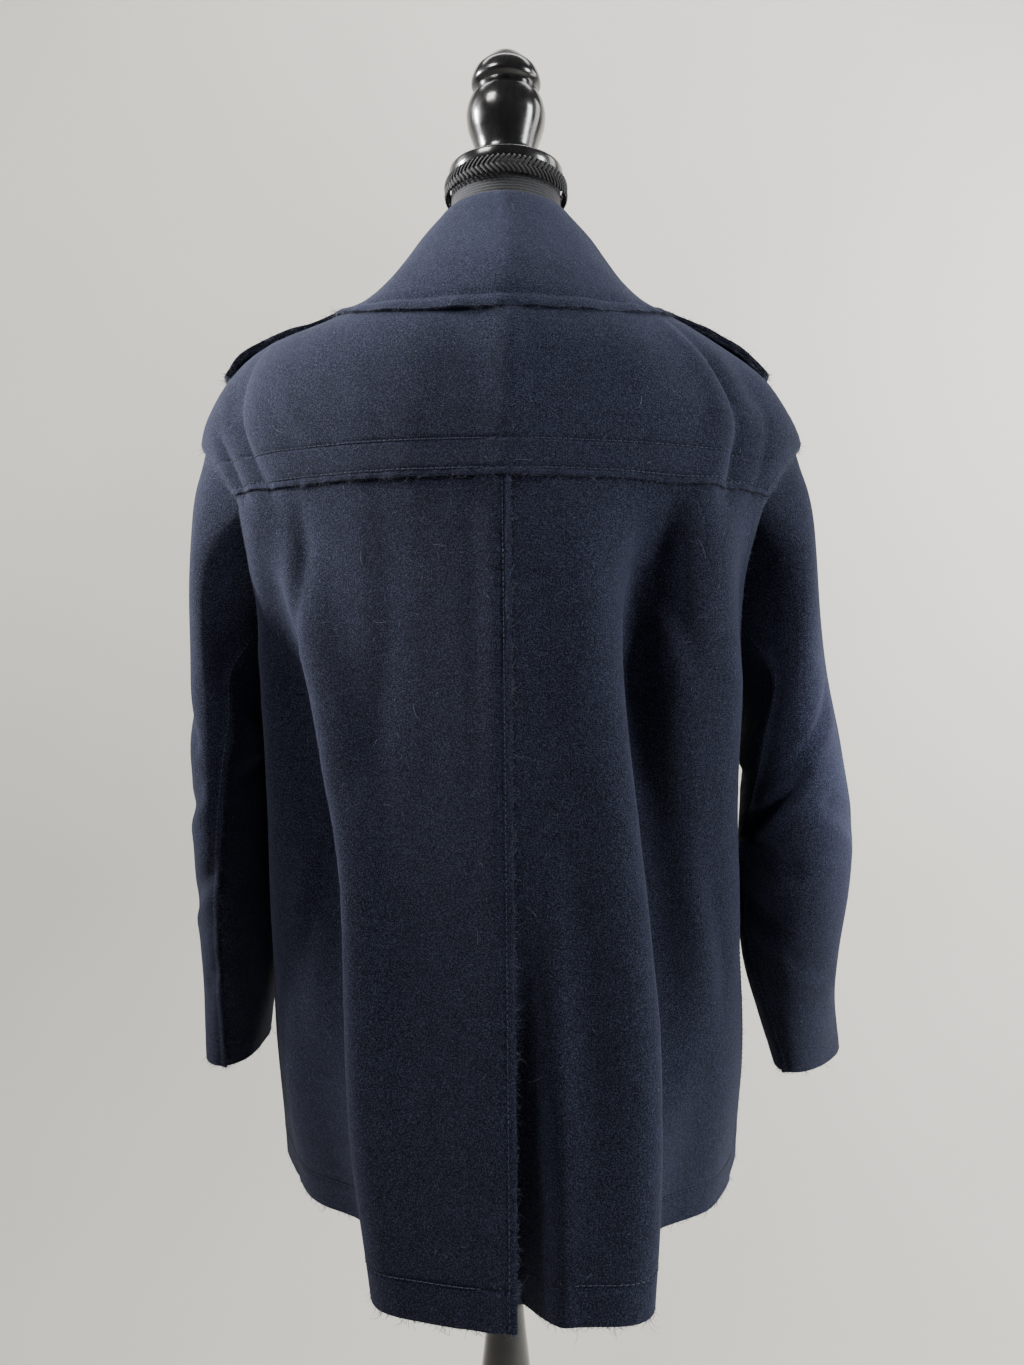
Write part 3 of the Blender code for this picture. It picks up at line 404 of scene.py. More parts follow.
def body(angle, height):
    """The inner face of the coat's body."""
    angle, height = np.broadcast_arrays(np.asarray(angle, float), np.asarray(height, float))
    sine, cosine = np.sin(np.radians(angle)), np.cos(np.radians(angle))
    heights, *sizes = columns_of(SECTIONS)
    left, right, back, front = (smooth(heights, size, height) for size in sizes)
    half, deep = np.where(sine >= 0, left, right), np.where(cosine >= 0, back, front)
    outward = unit(np.stack([sine / half, cosine / deep], -1))
    level = np.stack([half * sine, deep * cosine], -1) + fold_depth(angle, height)[..., None] * outward
    return np.concatenate([level, height[..., None]], -1)


def moved_out(angle, height, distance):
    """Points of the body moved out of its surface, square to it."""
    turn, rise = 0.5, 0.002
    across = body(angle + turn, height) - body(angle - turn, height)
    up = body(angle, height + rise) - body(angle, height - rise)
    return body(angle, height) + unit(np.cross(up, across)) * np.asarray(distance, float)[..., None]


def frame_at(angle, height):
    """The body's surface frame at a place: along the angle, up the body, and out of it."""
    across = unit(body(angle + 0.5, height) - body(angle - 0.5, height))
    out = unit(moved_out(angle, height, 0.01) - body(angle, height))
    return across, np.cross(out, across), out


def armhole_turn(height):
    """Where a height lies on the armhole's edge: 0 degrees at the shoulder tip, 180 at the underarm."""
    return np.degrees(np.arccos(np.clip((height - ARMHOLE_MIDDLE) / ARMHOLE_HALF, -1, 1)))


def armhole_angle(edge, turn):
    """The body angle of the armhole's back or front edge."""
    heights, back, front = np.array(ARMHOLE, float).T
    return smooth(armhole_turn(heights), back if edge == "back" else front, turn)


def armhole_point(side, turn, distance):
    """A point of the armhole's edge at a turn of 0 to 360 degrees, by way of the back."""
    folded = np.where(turn <= 180, turn, 360 - turn)
    height = ARMHOLE_MIDDLE + ARMHOLE_HALF * np.cos(np.radians(folded))
    angle = np.where(turn <= 180, armhole_angle("back", folded), armhole_angle("front", folded))
    return moved_out(side * angle, height, np.full(angle.shape, distance))


def neckline(angle):
    """The height of the neck seam."""
    return NECK - NECK_DROP * eased((np.abs(angle) - SHOULDER_EDGE) / (180 - FRONT_LAP - SHOULDER_EDGE))


def collar_points(angle):
    """Rows of points down the collar's visible face: up the stand, over the roll and down the fall."""
    side, turn = np.sign(angle), np.abs(angle)
    angles, *shapes = columns_of(COLLAR)
    roll_out, roll_height, edge_angle, edge_height, edge_lift, swell = (
        smooth(angles, shape, turn) for shape in shapes
    )
    foot = body(angle, neckline(angle) + COLLAR_RISE)
    outward = np.stack([np.sin(np.radians(angle)), np.cos(np.radians(angle)), 0 * angle], -1)
    up = np.array([0.0, 0.0, 1.0])
    roll = outward * roll_out[:, None] + up * roll_height[:, None]
    edge = moved_out(side * edge_angle, edge_height, edge_lift)
    over = roll + outward * ROLL_OUT - up * ROLL_FALL
    inside = roll - outward * ROLL_IN - up * ROLL_FALL
    rows = [foot, foot + (inside - foot) * 0.5, inside, roll, over]
    for t in (0.2, 0.4, 0.6, 0.8, 1.0):
        bend = (outward * 0.6 + up * 0.8) * swell[:, None] * math.sin(math.pi * t ** SWELL_SKEW)
        rows.append(over + (edge - over) * t + bend)
    return np.stack(rows)


def refined(rows, places, wanted):
    """Smooth curves through rows of points at their places, read at the wanted ones."""
    columns = rows.reshape(len(rows), -1).T
    curves = [smooth(np.asarray(places, float), column, wanted) for column in columns]
    return np.stack(curves, -1).reshape(-1, *rows.shape[1:])


def sleeve_ring(side, row, turn):
    """One ring of a sleeve, at turns from the outside of the arm by way of its back."""
    out, behind, height, thick, wide, tip, swing, wind = row
    round_it = np.radians(turn + wind)
    tip, swing = math.radians(tip), math.radians(swing)
    across, back = thick * np.cos(round_it), wide * np.sin(round_it)
    level = across * math.cos(tip)
    x = out + level * math.cos(swing) - back * math.sin(swing)
    y = behind + level * math.sin(swing) + back * math.cos(swing)
    return np.stack([side * x, y, height + across * math.sin(tip)], -1)


def sleeve_surface(side_name, turn):
    """The sleeve's outer face: the armhole's edge, then rows through the rings and between them."""
    side = 1 if side_name == "left" else -1
    edge = armhole_point(side, turn, -TUCK)
    middle = armhole_point(side, np.arange(0.0, 360.0, 15.0), 0.0).mean(0)
    inwards = unit((middle - edge) * (0, 1, 1))
    head = edge + inwards * HEAD_IN + np.array([side * HEAD_OUT, 0, 0])
    rings = np.stack([head] + [sleeve_ring(side, row, turn) for row in SLEEVES[side_name]])
    last = len(rings) - 1
    wanted = np.linspace(0, last, last * SLEEVE_STEPS + 1)
    return np.concatenate([edge[None], refined(rings, range(last + 1), wanted)])


def lap_edge(height):
    return np.interp(height, (HEM, YOKE_TOP_OF_BACK), (LAP_EDGE_HEM, LAP_EDGE_TOP))


def vent_drop(angle, height):
    heights, depths = np.array(sorted(VENT_DROPS)).T
    start, end = VENT_FADE
    return np.interp(height, heights, depths) * eased((angle - start) / (end - start))


def front_point(height, across, up, out):
    """A point in front of the coat, measured from a toggle's middle; across is to the wearer's left."""
    return moved_out(TOGGLE_ANGLE - across / METRES_PER_DEGREE, height + up, out)


# ------------------------------------------------------------------------------------------- materials


class Paint:
    """A material being made: its methods add linked nodes and give back their outputs."""

    def __init__(self, name, roughness, metallic=0.0, **sockets):
        self.made = bpy.data.materials.new(name)
        self.made.use_nodes = True
        self.tree = self.made.node_tree
        self.shader = self.tree.nodes["Principled BSDF"]
        for socket, value in dict(sockets, Roughness=roughness, Metallic=metallic).items():
            self.shader.inputs[socket.replace("_", " ")].default_value = value
        self.place = self.add("TexCoord").outputs["Object"]

    def add(self, kind, inputs=(), **settings):
        """A new node; each of its inputs is a value or another node's output."""
        node = self.tree.nodes.new("ShaderNode" + kind)
        for key, value in settings.items():
            setattr(node, key, value)
        for key, value in dict(inputs).items():
            if isinstance(value, bpy.types.NodeSocket):
                self.tree.links.new(value, node.inputs[key])
            else:
                node.inputs[key].default_value = value
        return node

    def noise(self, scale, detail=3.0, rough=0.6, place=None):
        inputs = {"Vector": place or self.place, "Scale": scale, "Detail": detail, "Roughness": rough}
        return self.add("TexNoise", inputs).outputs["Fac"]

    def drawn_out(self, share):
        """The place with its height scaled, so that a pattern runs up and down."""
        return self.add("Mapping", {"Vector": self.place, "Scale": (1.0, 1.0, share)}).outputs["Vector"]

    def ramp(self, value, *stops):
        """A value turned into a colour, or into a grey where a stop holds one number."""
        made = self.add("ValToRGB", {"Fac": value})
        while len(made.color_ramp.elements) < len(stops):
            made.color_ramp.elements.new(0.5)
        for element, (position, colour) in zip(made.color_ramp.elements, stops):
            element.position = position
            element.color = (*(colour if isinstance(colour, tuple) else (colour,) * 3), 1.0)
        return made.outputs["Color"]

    def maths(self, operation, first, second):
        return self.add("Math", {0: first, 1: second}, operation=operation).outputs[0]

    def bump(self, height, strength, distance, under=None):
        """Relief on the shader's normal, above other relief."""
        inputs = {"Height": height, "Strength": strength, "Distance": distance}
        if under is not None:
            inputs["Normal"] = under
        return self.link(self.add("Bump", inputs).outputs["Normal"], "Normal")

    def link(self, output, socket="Base Color"):
        self.tree.links.new(output, self.shader.inputs[socket])
        return output


WOOL_DARK, WOOL_MID, WOOL_LIGHT = (0.0015, 0.0019, 0.0058), (0.0068, 0.0082, 0.0205), (0.0420, 0.0490, 0.0910)
FLECK = (0.105, 0.115, 0.165, 1.0)


def wool_material():
    """Felted melton: mottled navy, pale flecks, a soft nap."""
    sheen = {"Sheen_Weight": 0.13, "Sheen_Roughness": 0.4, "Sheen_Tint": (0.45, 0.52, 0.85, 1.0)}
    paint = Paint("navy wool", 0.95, IOR=1.3, **sheen)
    felt = paint.maths("MULTIPLY", paint.noise(1050.0, 4.0, 0.72), 0.94)
    patches = paint.maths("MULTIPLY", paint.noise(55.0, 5.0, 0.65), 0.06)
    mottle = paint.maths("ADD", felt, patches)
    ground = paint.ramp(mottle, (0.41, WOOL_DARK), (0.50, WOOL_MID), (0.61, WOOL_LIGHT))
    flecks = paint.ramp(paint.noise(900.0, 2.0, 0.6), (0.64, 0), (0.72, 1))
    shares = {0: paint.maths("MULTIPLY", flecks, 0.40), 6: ground, 7: FLECK}
    paint.link(paint.add("Mix", shares, data_type="RGBA").outputs[2])
    coarse = paint.bump(paint.noise(210.0, 4.0), 0.45, 0.0012)
    paint.bump(paint.noise(950.0, 4.0, 0.8), 0.95, 0.0010, coarse)
    return paint.made


def lacquer_material():
    """Black paint with long streaks and a little dust."""
    paint = Paint("black lacquer", 0.2, Coat_Weight=0.5, Coat_Roughness=0.12)
    streaks = paint.noise(160.0, 5.0, place=paint.drawn_out(0.12))
    paint.link(paint.ramp(streaks, (0.3, (0.0035, 0.0035, 0.0040)), (0.8, (0.012, 0.011, 0.011))))
    paint.link(paint.ramp(paint.noise(60.0, 6.0), (0.35, 0.16), (0.75, 0.34)), "Roughness")
    paint.bump(streaks, 0.10, 0.0006)
    return paint.made


def steel_material():
    paint = Paint("dark steel", 0.3, 1.0)
    lines = paint.noise(900.0, 4.0, place=paint.drawn_out(0.05))
    paint.link(paint.ramp(lines, (0.3, (0.030, 0.030, 0.034)), (0.7, (0.070, 0.070, 0.078))))
    paint.link(paint.ramp(lines, (0.2, 0.22), (0.8, 0.38)), "Roughness")
    return paint.made


def jersey_material():
    """A fine knit, with rows of loops round the form."""
    paint = Paint("charcoal jersey", 0.9, Sheen_Weight=0.2, Sheen_Roughness=0.5)
    soft = paint.noise(500.0, 4.0)
    paint.link(paint.ramp(soft, (0.3, (0.012, 0.012, 0.014)), (0.75, (0.034, 0.034, 0.040))))
    waves_in = {"Vector": paint.place, "Scale": 130.0, "Distortion": 1.2, "Detail": 2.0}
    loops = paint.add("TexWave", waves_in, wave_type="BANDS", bands_direction="Z").outputs["Fac"]
    paint.bump(paint.noise(900.0, 3.0), 0.5, 0.0004, paint.bump(loops, 0.5, 0.0006))
    return paint.made


def horn_material():
    paint = Paint("brown horn", 0.3, Coat_Weight=0.35, Coat_Roughness=0.15)
    grain = paint.drawn_out(0.25)
    stops = ((0.30, (0.018, 0.011, 0.007)), (0.50, (0.070, 0.038, 0.021)), (0.72, (0.180, 0.108, 0.060)))
    paint.link(paint.ramp(paint.noise(240.0, 6.0, 0.7, grain), *stops))
    paint.bump(paint.noise(800.0, 4.0, place=grain), 0.15, 0.0003)
    return paint.made


def leather_material():
    paint = Paint("black leather", 0.5)
    cells = paint.add("TexVoronoi", {"Vector": paint.place, "Scale": 750.0}, feature="DISTANCE_TO_EDGE")
    wear = paint.noise(90.0, 5.0)
    paint.link(paint.ramp(wear, (0.35, (0.006, 0.0055, 0.006)), (0.8, (0.024, 0.021, 0.021))))
    paint.link(paint.ramp(wear, (0.3, 0.42), (0.8, 0.62)), "Roughness")
    paint.bump(cells.outputs["Distance"], 0.5, 0.0004)
    return paint.made


def thread_material(name, dark, light):
    paint = Paint(name, 0.85, Sheen_Weight=0.15)
    twist = paint.noise(1600.0, 2.0)
    paint.link(paint.ramp(twist, (0.3, dark), (0.7, light)))
    paint.bump(twist, 0.4, 0.0002)
    return paint.made


def floor_material():
    paint = Paint("pale floor", 0.85)
    paint.link(paint.ramp(paint.noise(1.5, 2.0), (0.2, (0.74, 0.72, 0.66)), (0.8, (0.80, 0.78, 0.72))))
    return paint.made


# Each finish: its material, and the slot it stands for.
FINISHES = {
    "wool": (wool_material(), "navy_wool"),
    "fray": (thread_material("navy fibres", (0.012, 0.015, 0.034), (0.040, 0.048, 0.085)), "navy_wool"),
    "lint": (thread_material("pale lint", (0.05, 0.055, 0.08), (0.16, 0.17, 0.20)), "navy_wool"),
    "stitch": (thread_material("navy thread", (0.012, 0.017, 0.040), (0.034, 0.044, 0.090)), "navy_wool"),
    "lacquer": (lacquer_material(), "black_lacquered_wood"),
    "steel": (steel_material(), "dark_steel"),
    "jersey": (jersey_material(), "charcoal_jersey"),
    "braid": (thread_material("black braid", (0.004, 0.004, 0.005), (0.016, 0.016, 0.018)), "black_braid"),
    "horn": (horn_material(), "brown_horn"),
    "leather": (leather_material(), "black_leather"),
    "cord": (thread_material("dark cord", (0.010, 0.009, 0.010), (0.040, 0.037, 0.038)), "dark_cord"),
}


# -------------------------------------------------------------------------------------------- meshes


def add_piece(name, vertices, faces, finish, node="", sharp=40.0):
    """A mesh that rides with the coat, in its finish's material; the solid that it stands for is hidden."""
    material, slot = FINISHES[finish]
    mesh = bpy.data.meshes.new(name)
    mesh.from_pydata(np.asarray(vertices, float).reshape(-1, 3).tolist(), [], faces)
    mesh.shade_smooth()
    if sharp:
        mesh.set_sharp_from_angle(angle=math.radians(sharp))
    mesh.materials.append(material)
    made = bpy.data.objects.new(name, mesh)
    bpy.context.scene.collection.objects.link(made)
    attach(made, "root")
    if node:
        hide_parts(node)


def grid_normals(points):
    """Unit normals of a grid, facing out where the rows run down and the columns run with the angle."""
    return unit(np.cross(np.gradient(points, axis=1), np.gradient(points, axis=0)))


def quads(rows, columns, closed=False):
    """The faces of a grid of points that are numbered row by row."""
    r, c = np.meshgrid(np.arange(rows - 1), np.arange(columns if closed else columns - 1), indexing="ij")
    here, after = r * columns + c, r * columns + (c + 1) % columns
    return np.stack([here, after, after + columns, here + columns], -1).reshape(-1, 4)


def shell(name, points, lift, node="", finish="wool", thickness=CLOTH):
    """A closed cloth wall: its outer face is lift above the points, and the wall lies below that."""
    rows, columns = points.shape[:2]
    normal = grid_normals(points)
    lift = np.broadcast_to(lift, (rows, columns))[..., None]
    outer, inner = points + normal * lift, points + normal * (lift - thickness)
    number = np.arange(rows * columns).reshape(rows, columns)
    rim = np.concatenate([number[0], number[1:, -1], number[-1, -2::-1], number[-2:0:-1, 0]])
    after = np.roll(rim, -1)
    grid = quads(rows, columns)
    walls = np.stack([after, rim, rim + number.size, after + number.size], -1)
    faces = np.concatenate([grid, grid[:, ::-1] + number.size, walls])
    add_piece(name, np.concatenate([outer, inner]), faces.tolist(), finish, node)
    return {"name": name, "outer": outer, "normal": normal}


def tubes(paths, radius, sides=3):
    """Vertices and faces of many tubes at once; paths is (tubes, points, 3)."""
    count, steps = paths.shape[:2]
    along = unit(np.gradient(paths, axis=1))
    helper = np.where(np.abs(along[..., 2:]) < 0.8, (0.0, 0.0, 1.0), (1.0, 0.0, 0.0))
    side = unit(np.cross(along, helper))
    other = np.cross(along, side)
    turns = np.arange(sides) * 2 * math.pi / sides
    radius = np.broadcast_to(radius, (count, steps))[..., None, None]
    ring = side[:, :, None] * np.cos(turns)[:, None] + other[:, :, None] * np.sin(turns)[:, None]
    starts = np.arange(count)[:, None] * steps * sides
    caps = np.concatenate([starts + np.arange(sides)[::-1], starts + (steps - 1) * sides + np.arange(sides)])
    faces = (starts[..., None] + quads(steps, sides, True)).reshape(-1, 4)
    return paths[:, :, None] + radius * ring, faces.tolist() + caps.tolist()


def resampled(line, spacing):
    """Points along a polyline at an even spacing."""
    run = np.concatenate([[0], np.cumsum(np.linalg.norm(np.diff(line, axis=0), axis=1))])
    wanted = np.linspace(0, run[-1], max(int(run[-1] / spacing), 2))
    return np.stack([np.interp(wanted, run, axis) for axis in line.T], -1)


# Where a fibre's points lie: along it and along its curl; for lint also how far it stands off.
FRAY_POINTS = ((0, 0), (0.4, 0), (0.75, 0.18), (1, 0.45))
LINT_POINTS = ((0, 0, 1), (0.35, 0.2, 1.6), (0.7, 0.6, 1.6), (1, 1.1, 1))
FRAY_TAPER = (1.0, 0.9, 0.7, 0.35)  # its radius at each point, as a share of the first
FRAY_RADIUS, LINT_RADIUS = 0.00016, 0.00011
FRAY_SUNK = 0.0006  # the fibres start this far inside the edge
LINT_OFF = 0.0003  # the lint lies this far above the cloth
LINT_LONG, LINT_LONG_SHARE = 0.007, 0.06  # a few hairs are this much longer


def fray(name, edges, per_metre, length, seed):
    """Loose fibres along raw edges; each edge is its line, the ways out of it and the cloth's normals."""
    rng = np.random.default_rng(seed)
    paths = []
    for line, outward, normal in edges:
        last = len(line) - 1
        metres = float(np.linalg.norm(np.diff(line, axis=0), axis=1).sum())
        count = max(int(metres * per_metre), 4)
        at = np.sort(rng.random(count)) * last
        clumps = 0.5 + 0.5 * np.sin(at / last * metres * 260 + rng.random() * 6)
        first = np.minimum(at.astype(int), last - 1)
        part = (at - first)[:, None]
        root = line[first] * (1 - part) + line[first + 1] * part
        out, up, along = unit(outward[first]), unit(normal[first]), unit(line[first + 1] - line[first])
        reach = length * (0.25 + rng.gamma(1.6, 0.45, count))[:, None] * (0.6 + 0.7 * clumps[:, None])
        sway, rise = rng.normal(0, 0.75, (count, 1)), rng.normal(0.10, 0.45, (count, 1))
        way = unit(out + along * sway + up * rise)
        curl = unit(along * rng.normal(0, 1, (count, 1)) + up * rng.normal(0, 0.8, (count, 1)) - out * 0.3)
        root = root - up * (rng.random((count, 1)) * CLOTH * 0.9) - out * FRAY_SUNK
        points = [root + way * reach * far + curl * reach * bend for far, bend in FRAY_POINTS]
        paths.append(np.stack(points, 1))
    radii = np.array(FRAY_TAPER) * FRAY_RADIUS
    add_piece(name, *tubes(np.concatenate(paths), radii), "fray", sharp=0)


def scatter(shells):
    """Pale lint and loose curls of fibre lying on the cloth."""
    rng = np.random.default_rng(17)
    paths = []
    for made, count in shells:
        outer, normal = made["outer"], made["normal"]
        rows, columns = (rng.integers(2, size - 2, count) for size in outer.shape[:2])
        root, up = outer[rows, columns], normal[rows, columns]
        way = unit(np.cross(up, rng.normal(size=(count, 3))))
        bend = unit(np.cross(up, way))
        long = rng.random((count, 1)) < LINT_LONG_SHARE
        reach = np.where(long, LINT_LONG, 0.0006) + rng.gamma(1.5, 0.0004, (count, 1))
        curl = rng.normal(0, 0.9, (count, 1))
        paths.append(np.stack([
            root + way * reach * far + bend * reach * curl * aside + up * LINT_OFF * lift
            for far, aside, lift in LINT_POINTS
        ], 1))
    add_piece("coat_lint", *tubes(np.concatenate(paths), LINT_RADIUS), "lint", sharp=0)


def edge_of(made, which):
    """A raw edge of a shell: its outer line, the ways out of the cloth's edge and the cloth's normals."""
    outer, normal = made["outer"], made["normal"]
    if which in ("start", "end"):
        outer, normal = outer.swapaxes(0, 1), normal.swapaxes(0, 1)
    if which in ("bottom", "end"):
        outer, normal = outer[::-1], normal[::-1]
    return outer[0], outer[0] - outer[1], normal[0]


def stitches(name, lines, spacing=0.0042, length=0.0029, radius=0.00036):
    """Rows of machine stitches, half sunk; each line is its points and the cloth's normals there."""
    rng = np.random.default_rng(3)
    paths = []
    for line, normal in lines:
        place = resampled(line, spacing)
        run, base = np.linspace(0, 1, len(place)), np.linspace(0, 1, len(line))
        up = unit(np.stack([np.interp(run, base, axis) for axis in normal.T], -1))
        along = unit(np.gradient(place, axis=0))
        half = unit(along + np.cross(up, along) * rng.normal(0, 0.05, (len(place), 1))) * length / 2
        low, high = place - up * radius * 1.3, place + up * radius * 0.5
        paths.append(np.stack([low - half, high - half * 0.6, high + half * 0.6, low + half], 1))
    add_piece(name, *tubes(np.concatenate(paths), radius, 5), "stitch", sharp=0)


def waves(points, seed, amplitude):
    """A gentle unevenness, longer up and down than across."""
    rng = np.random.default_rng(seed)
    count, shortest, longest, stretch = 14, 0.035, 0.14, 2.2
    total = np.zeros(points.shape[:-1])
    for _ in range(count):
        size = math.exp(rng.uniform(math.log(shortest), math.log(longest)))
        way = rng.normal(size=3) * (1.0, 1.0, 1.0 / stretch)
        way *= 2 * math.pi / size / np.linalg.norm(way * (1, 1, stretch))
        total += size / longest * np.sin(points @ way + rng.uniform(0, 6.3))
    return total * amplitude / math.sqrt(count / 2)


def creases(across, up, table, easing=0.45, head_start=0.3, swell=0.35, swell_place=1.6):
    """Straight soft creases on a surface, each with a low swell beside it."""
    total = np.zeros(np.broadcast(across, up).shape)
    for ax, ay, bx, by, width, bow, depth in table:
        length = math.hypot(bx - ax, by - ay)
        ux, uy = (bx - ax) / length, (by - ay) / length
        along = ((across - ax) * ux + (up - ay) * uy) / length
        beside = (across - ax) * -uy + (up - ay) * ux + bow * np.sin(np.pi * np.clip(along, 0, 1))
        fade = eased(along / easing + head_start) * eased((1 - along) / easing + head_start)
        total += depth * fade * (bell(beside, width) - swell * bell(beside - swell_place * width, width))
    return total


# --------------------------------------------------------------------------------------- body panels


def dense_rows(top, bottom, spacing, lines):
    """Heights from the top down, with extra rows beside each stitch line and near the shoulder tip."""
    tip = ARMHOLE_MIDDLE + ARMHOLE_HALF * np.cos(np.radians(np.arange(0, 181, 5)))
    beside = (-0.0035, -0.0018, -0.0009, 0.0, 0.0009, 0.0018, 0.0035)
    extra = [line + step for line in lines for step in beside]
    even = np.arange(bottom, top, spacing)
    heights = np.unique(np.round(np.concatenate([even, tip, extra, [top, bottom]]), 5))
    heights = heights[(heights >= bottom - 1e-6) & (heights <= top + 1e-6)]
    return heights[np.concatenate([[True], np.diff(heights) > 0.00045])][::-1]


def edge_angles(edge, heights, tip_angle):
    """A panel's outer edge at every height; above the shoulder tip it eases to its own angle."""
    above = SHOULDER_EDGE + (tip_angle - SHOULDER_EDGE) * eased((heights - SHOULDER_TIP) / 0.02)
    return np.where(heights > SHOULDER_TIP, above, armhole_angle(edge, armhole_turn(heights)))


def pleats(angles, heights):
    """The sharp flanks of the drape's folds."""
    total = np.zeros(np.broadcast(angles, heights).shape)
    for stations in PLEATS:
        level, angle, before, after, depth = np.array(stations).T
        away = away_from(np.interp(heights, level, angle), angles)
        spread = np.where(away < 0, np.interp(heights, level, before), np.interp(heights, level, after))
        total = total + smooth(level, depth, heights) * bell(away, spread)
    return total


def small_folds(points, angles, heights):
    """The small creases and the unevenness that worn cloth has."""
    return creases(angles * DEGREE, heights, BACK_CREASES + FRONT_CREASES) + waves(points, 11, 0.0009)


def surface(angles, heights):
    """The body's points with the pleats and small folds."""
    points = body(angles, heights)
    points = points + grid_normals(points) * pleats(angles, heights)[..., None]
    return points + grid_normals(points) * small_folds(points, angles, heights)[..., None]


def columns_between(count):
    """Fractions from 0 to 1, closer together at both ends."""
    near = np.array((0.0, 0.0009, 0.0030, 0.0055, 0.0080)) / 0.25
    return np.unique(np.round(np.concatenate([near, np.linspace(0.045, 0.955, count), 1 - near]), 5))


def soft_edge(fractions, width=0.25):
    """Cloth thins and dips a little at its cut edges."""
    return -0.0004 * bell(np.minimum(fractions, 1 - fractions) * width, 0.0012)


def groove(distance):
    return -GROOVE_DEPTH * bell(distance, GROOVE_WIDTH)


def build_backs():
    heights = dense_rows(YOKE_TOP_OF_BACK, HEM, 0.0065, (HEM + HEM_STITCH,))
    rows = heights[:, None]
    fractions = columns_between(78)
    edge = edge_angles("back", heights, SHOULDER_EDGE)[:, None]

    lap = lap_edge(heights)[:, None]
    angles = lap + (edge - SEAM_GAP - lap) * fractions
    metres = (angles - lap) * DEGREE
    over = LAYER * eased(1 - (angles - 0.2 - LAP_UNDER) / 4.5)
    lift = CLOTH + over + soft_edge(fractions) + groove(metres - SEAM_STITCH)
    lift = lift + groove(rows - HEM - HEM_STITCH)
    # The raw edge waves a little, and a soft roll stands up between it and the stitches.
    lift = lift + 0.0006 * bell(metres, 0.004) * np.sin(rows * 150 + 3 * np.sin(rows * 37))
    lift = lift + 0.0011 * bell(metres - ROLL_PLACE, ROLL_WIDTH)
    left = shell("coat_back_left", surface(angles, rows), lift, "back_left")

    under = (LAP_UNDER + (VENT_UNDERLAP - LAP_UNDER) * eased((VENT_TOP + 0.02 - heights) / 0.05))[:, None]
    angles = under + (-edge + SEAM_GAP - under) * fractions[::-1]
    lift = CLOTH + vent_drop(angles, rows) + soft_edge(fractions) + groove(rows - HEM - HEM_STITCH)
    return left, shell("coat_back_right", surface(angles, rows), lift, "back_right")


def build_yoke():
    lines = [YOKE_EDGE + above for above in YOKE_STITCH]
    heights = dense_rows(NECK, YOKE_EDGE, 0.006, lines)
    rows = heights[:, None]
    fractions = columns_between(130)
    edge = edge_angles("back", heights, SHOULDER_EDGE)[:, None]
    angles = edge * (2 * fractions - 1)
    middle = LAYER * bell(angles + 0.5, 4.0)
    wavy = 0.0005 * bell(rows - YOKE_EDGE, 0.005) * np.sin(angles * 1.9 + 2 * np.sin(angles * 0.43))
    lift = LAYER + CLOTH + middle + soft_edge(fractions, 0.5) + wavy - 0.0004 * bell(rows - YOKE_EDGE, 0.0012)
    lift = lift + sum(groove(rows - line) for line in lines)
    return shell("coat_yoke", surface(angles, rows), lift, "back_yoke")


def build_fronts():
    heights = dense_rows(NECK, HEM, 0.0075, (HEM + HEM_STITCH,))
    fractions = columns_between(84)
    edge = edge_angles("front", heights, SHOULDER_TUCK)[:, None]
    end = 180 + FRONT_LAP
    angles = edge + 0.1 + (end - edge) * fractions
    upper = np.clip((heights - SHOULDER_TIP) / (NECK - SHOULDER_TIP), 0, 1)[:, None]
    rows = heights[:, None] - (NECK - neckline(180 - np.abs(180 - angles))) * upper
    metres = (end - angles) * METRES_PER_DEGREE
    lift = CLOTH + soft_edge(fractions) + groove(rows - HEM - HEM_STITCH) + groove(metres - SEAM_STITCH)
    left = shell("coat_front_left", surface(angles, rows), lift, "front_left")
    lift = (lift + LAYER * eased((angles - (180 - FRONT_LAP - 5)) / 4.5))[:, ::-1]
    points = surface(-angles[:, ::-1], rows[:, ::-1])
    return left, shell("coat_front_right", points, lift, "front_right")


# ------------------------------------------------------------------------- sleeves, collar, epaulettes


def build_sleeve(side_name):
    seam = armhole_turn(SEAM_RING)
    near = np.array((0.0, 0.7, 2.2, 4.0, 6.0))
    lap = np.array((0.0, 2.0, 3.5, 5.0, 6.3, SEAM_LAP_TURN))
    upper = [near - seam, np.linspace(9 - seam, seam - 3, 62), seam + lap]
    under = [seam + near, np.linspace(seam + 9, 351 - seam, 40), 360 - seam - near[::-1]]
    halves = {"upper": np.unique(np.concatenate(upper)), "under": np.concatenate(under)}
    table = [
        (turn_a / CREASE_TURN, ring_a, turn_b / CREASE_TURN, ring_b, width, 0, depth)
        for turn_a, ring_a, turn_b, ring_b, width, depth in SLEEVE_CREASES[side_name]
    ]
    made = []
    for half, turns in halves.items():
        points = sleeve_surface(side_name, turns % 360)
        places = np.concatenate([[0.0], np.arange(points.shape[0] - 1) / SLEEVE_STEPS])[:, None]
        bend = np.where(turns > 250, turns - 360, turns) / CREASE_TURN
        soft = creases(bend, places, table, 0.3, 0.5, 0.4, 1.7)
        lift = (soft + waves(points, 21 if side_name == "left" else 23, 0.0012)) * eased(places / 1.2)
        if half == "upper":
            lift = lift + eased((turns - seam + 1.0) / 3.0) * LAYER * 1.1 * eased(places / 0.6)
            lift = lift + groove((turns - seam - 2.5) * 0.0012)
        lift = lift + groove((places.max() - places - 0.42) * 0.055)
        if side_name == "left":
            points, lift = points[:, ::-1], lift[:, ::-1]
        node = f"sleeve_{side_name}_{half}"
        made.append(shell(f"coat_{node}", points, lift, node))
    return made


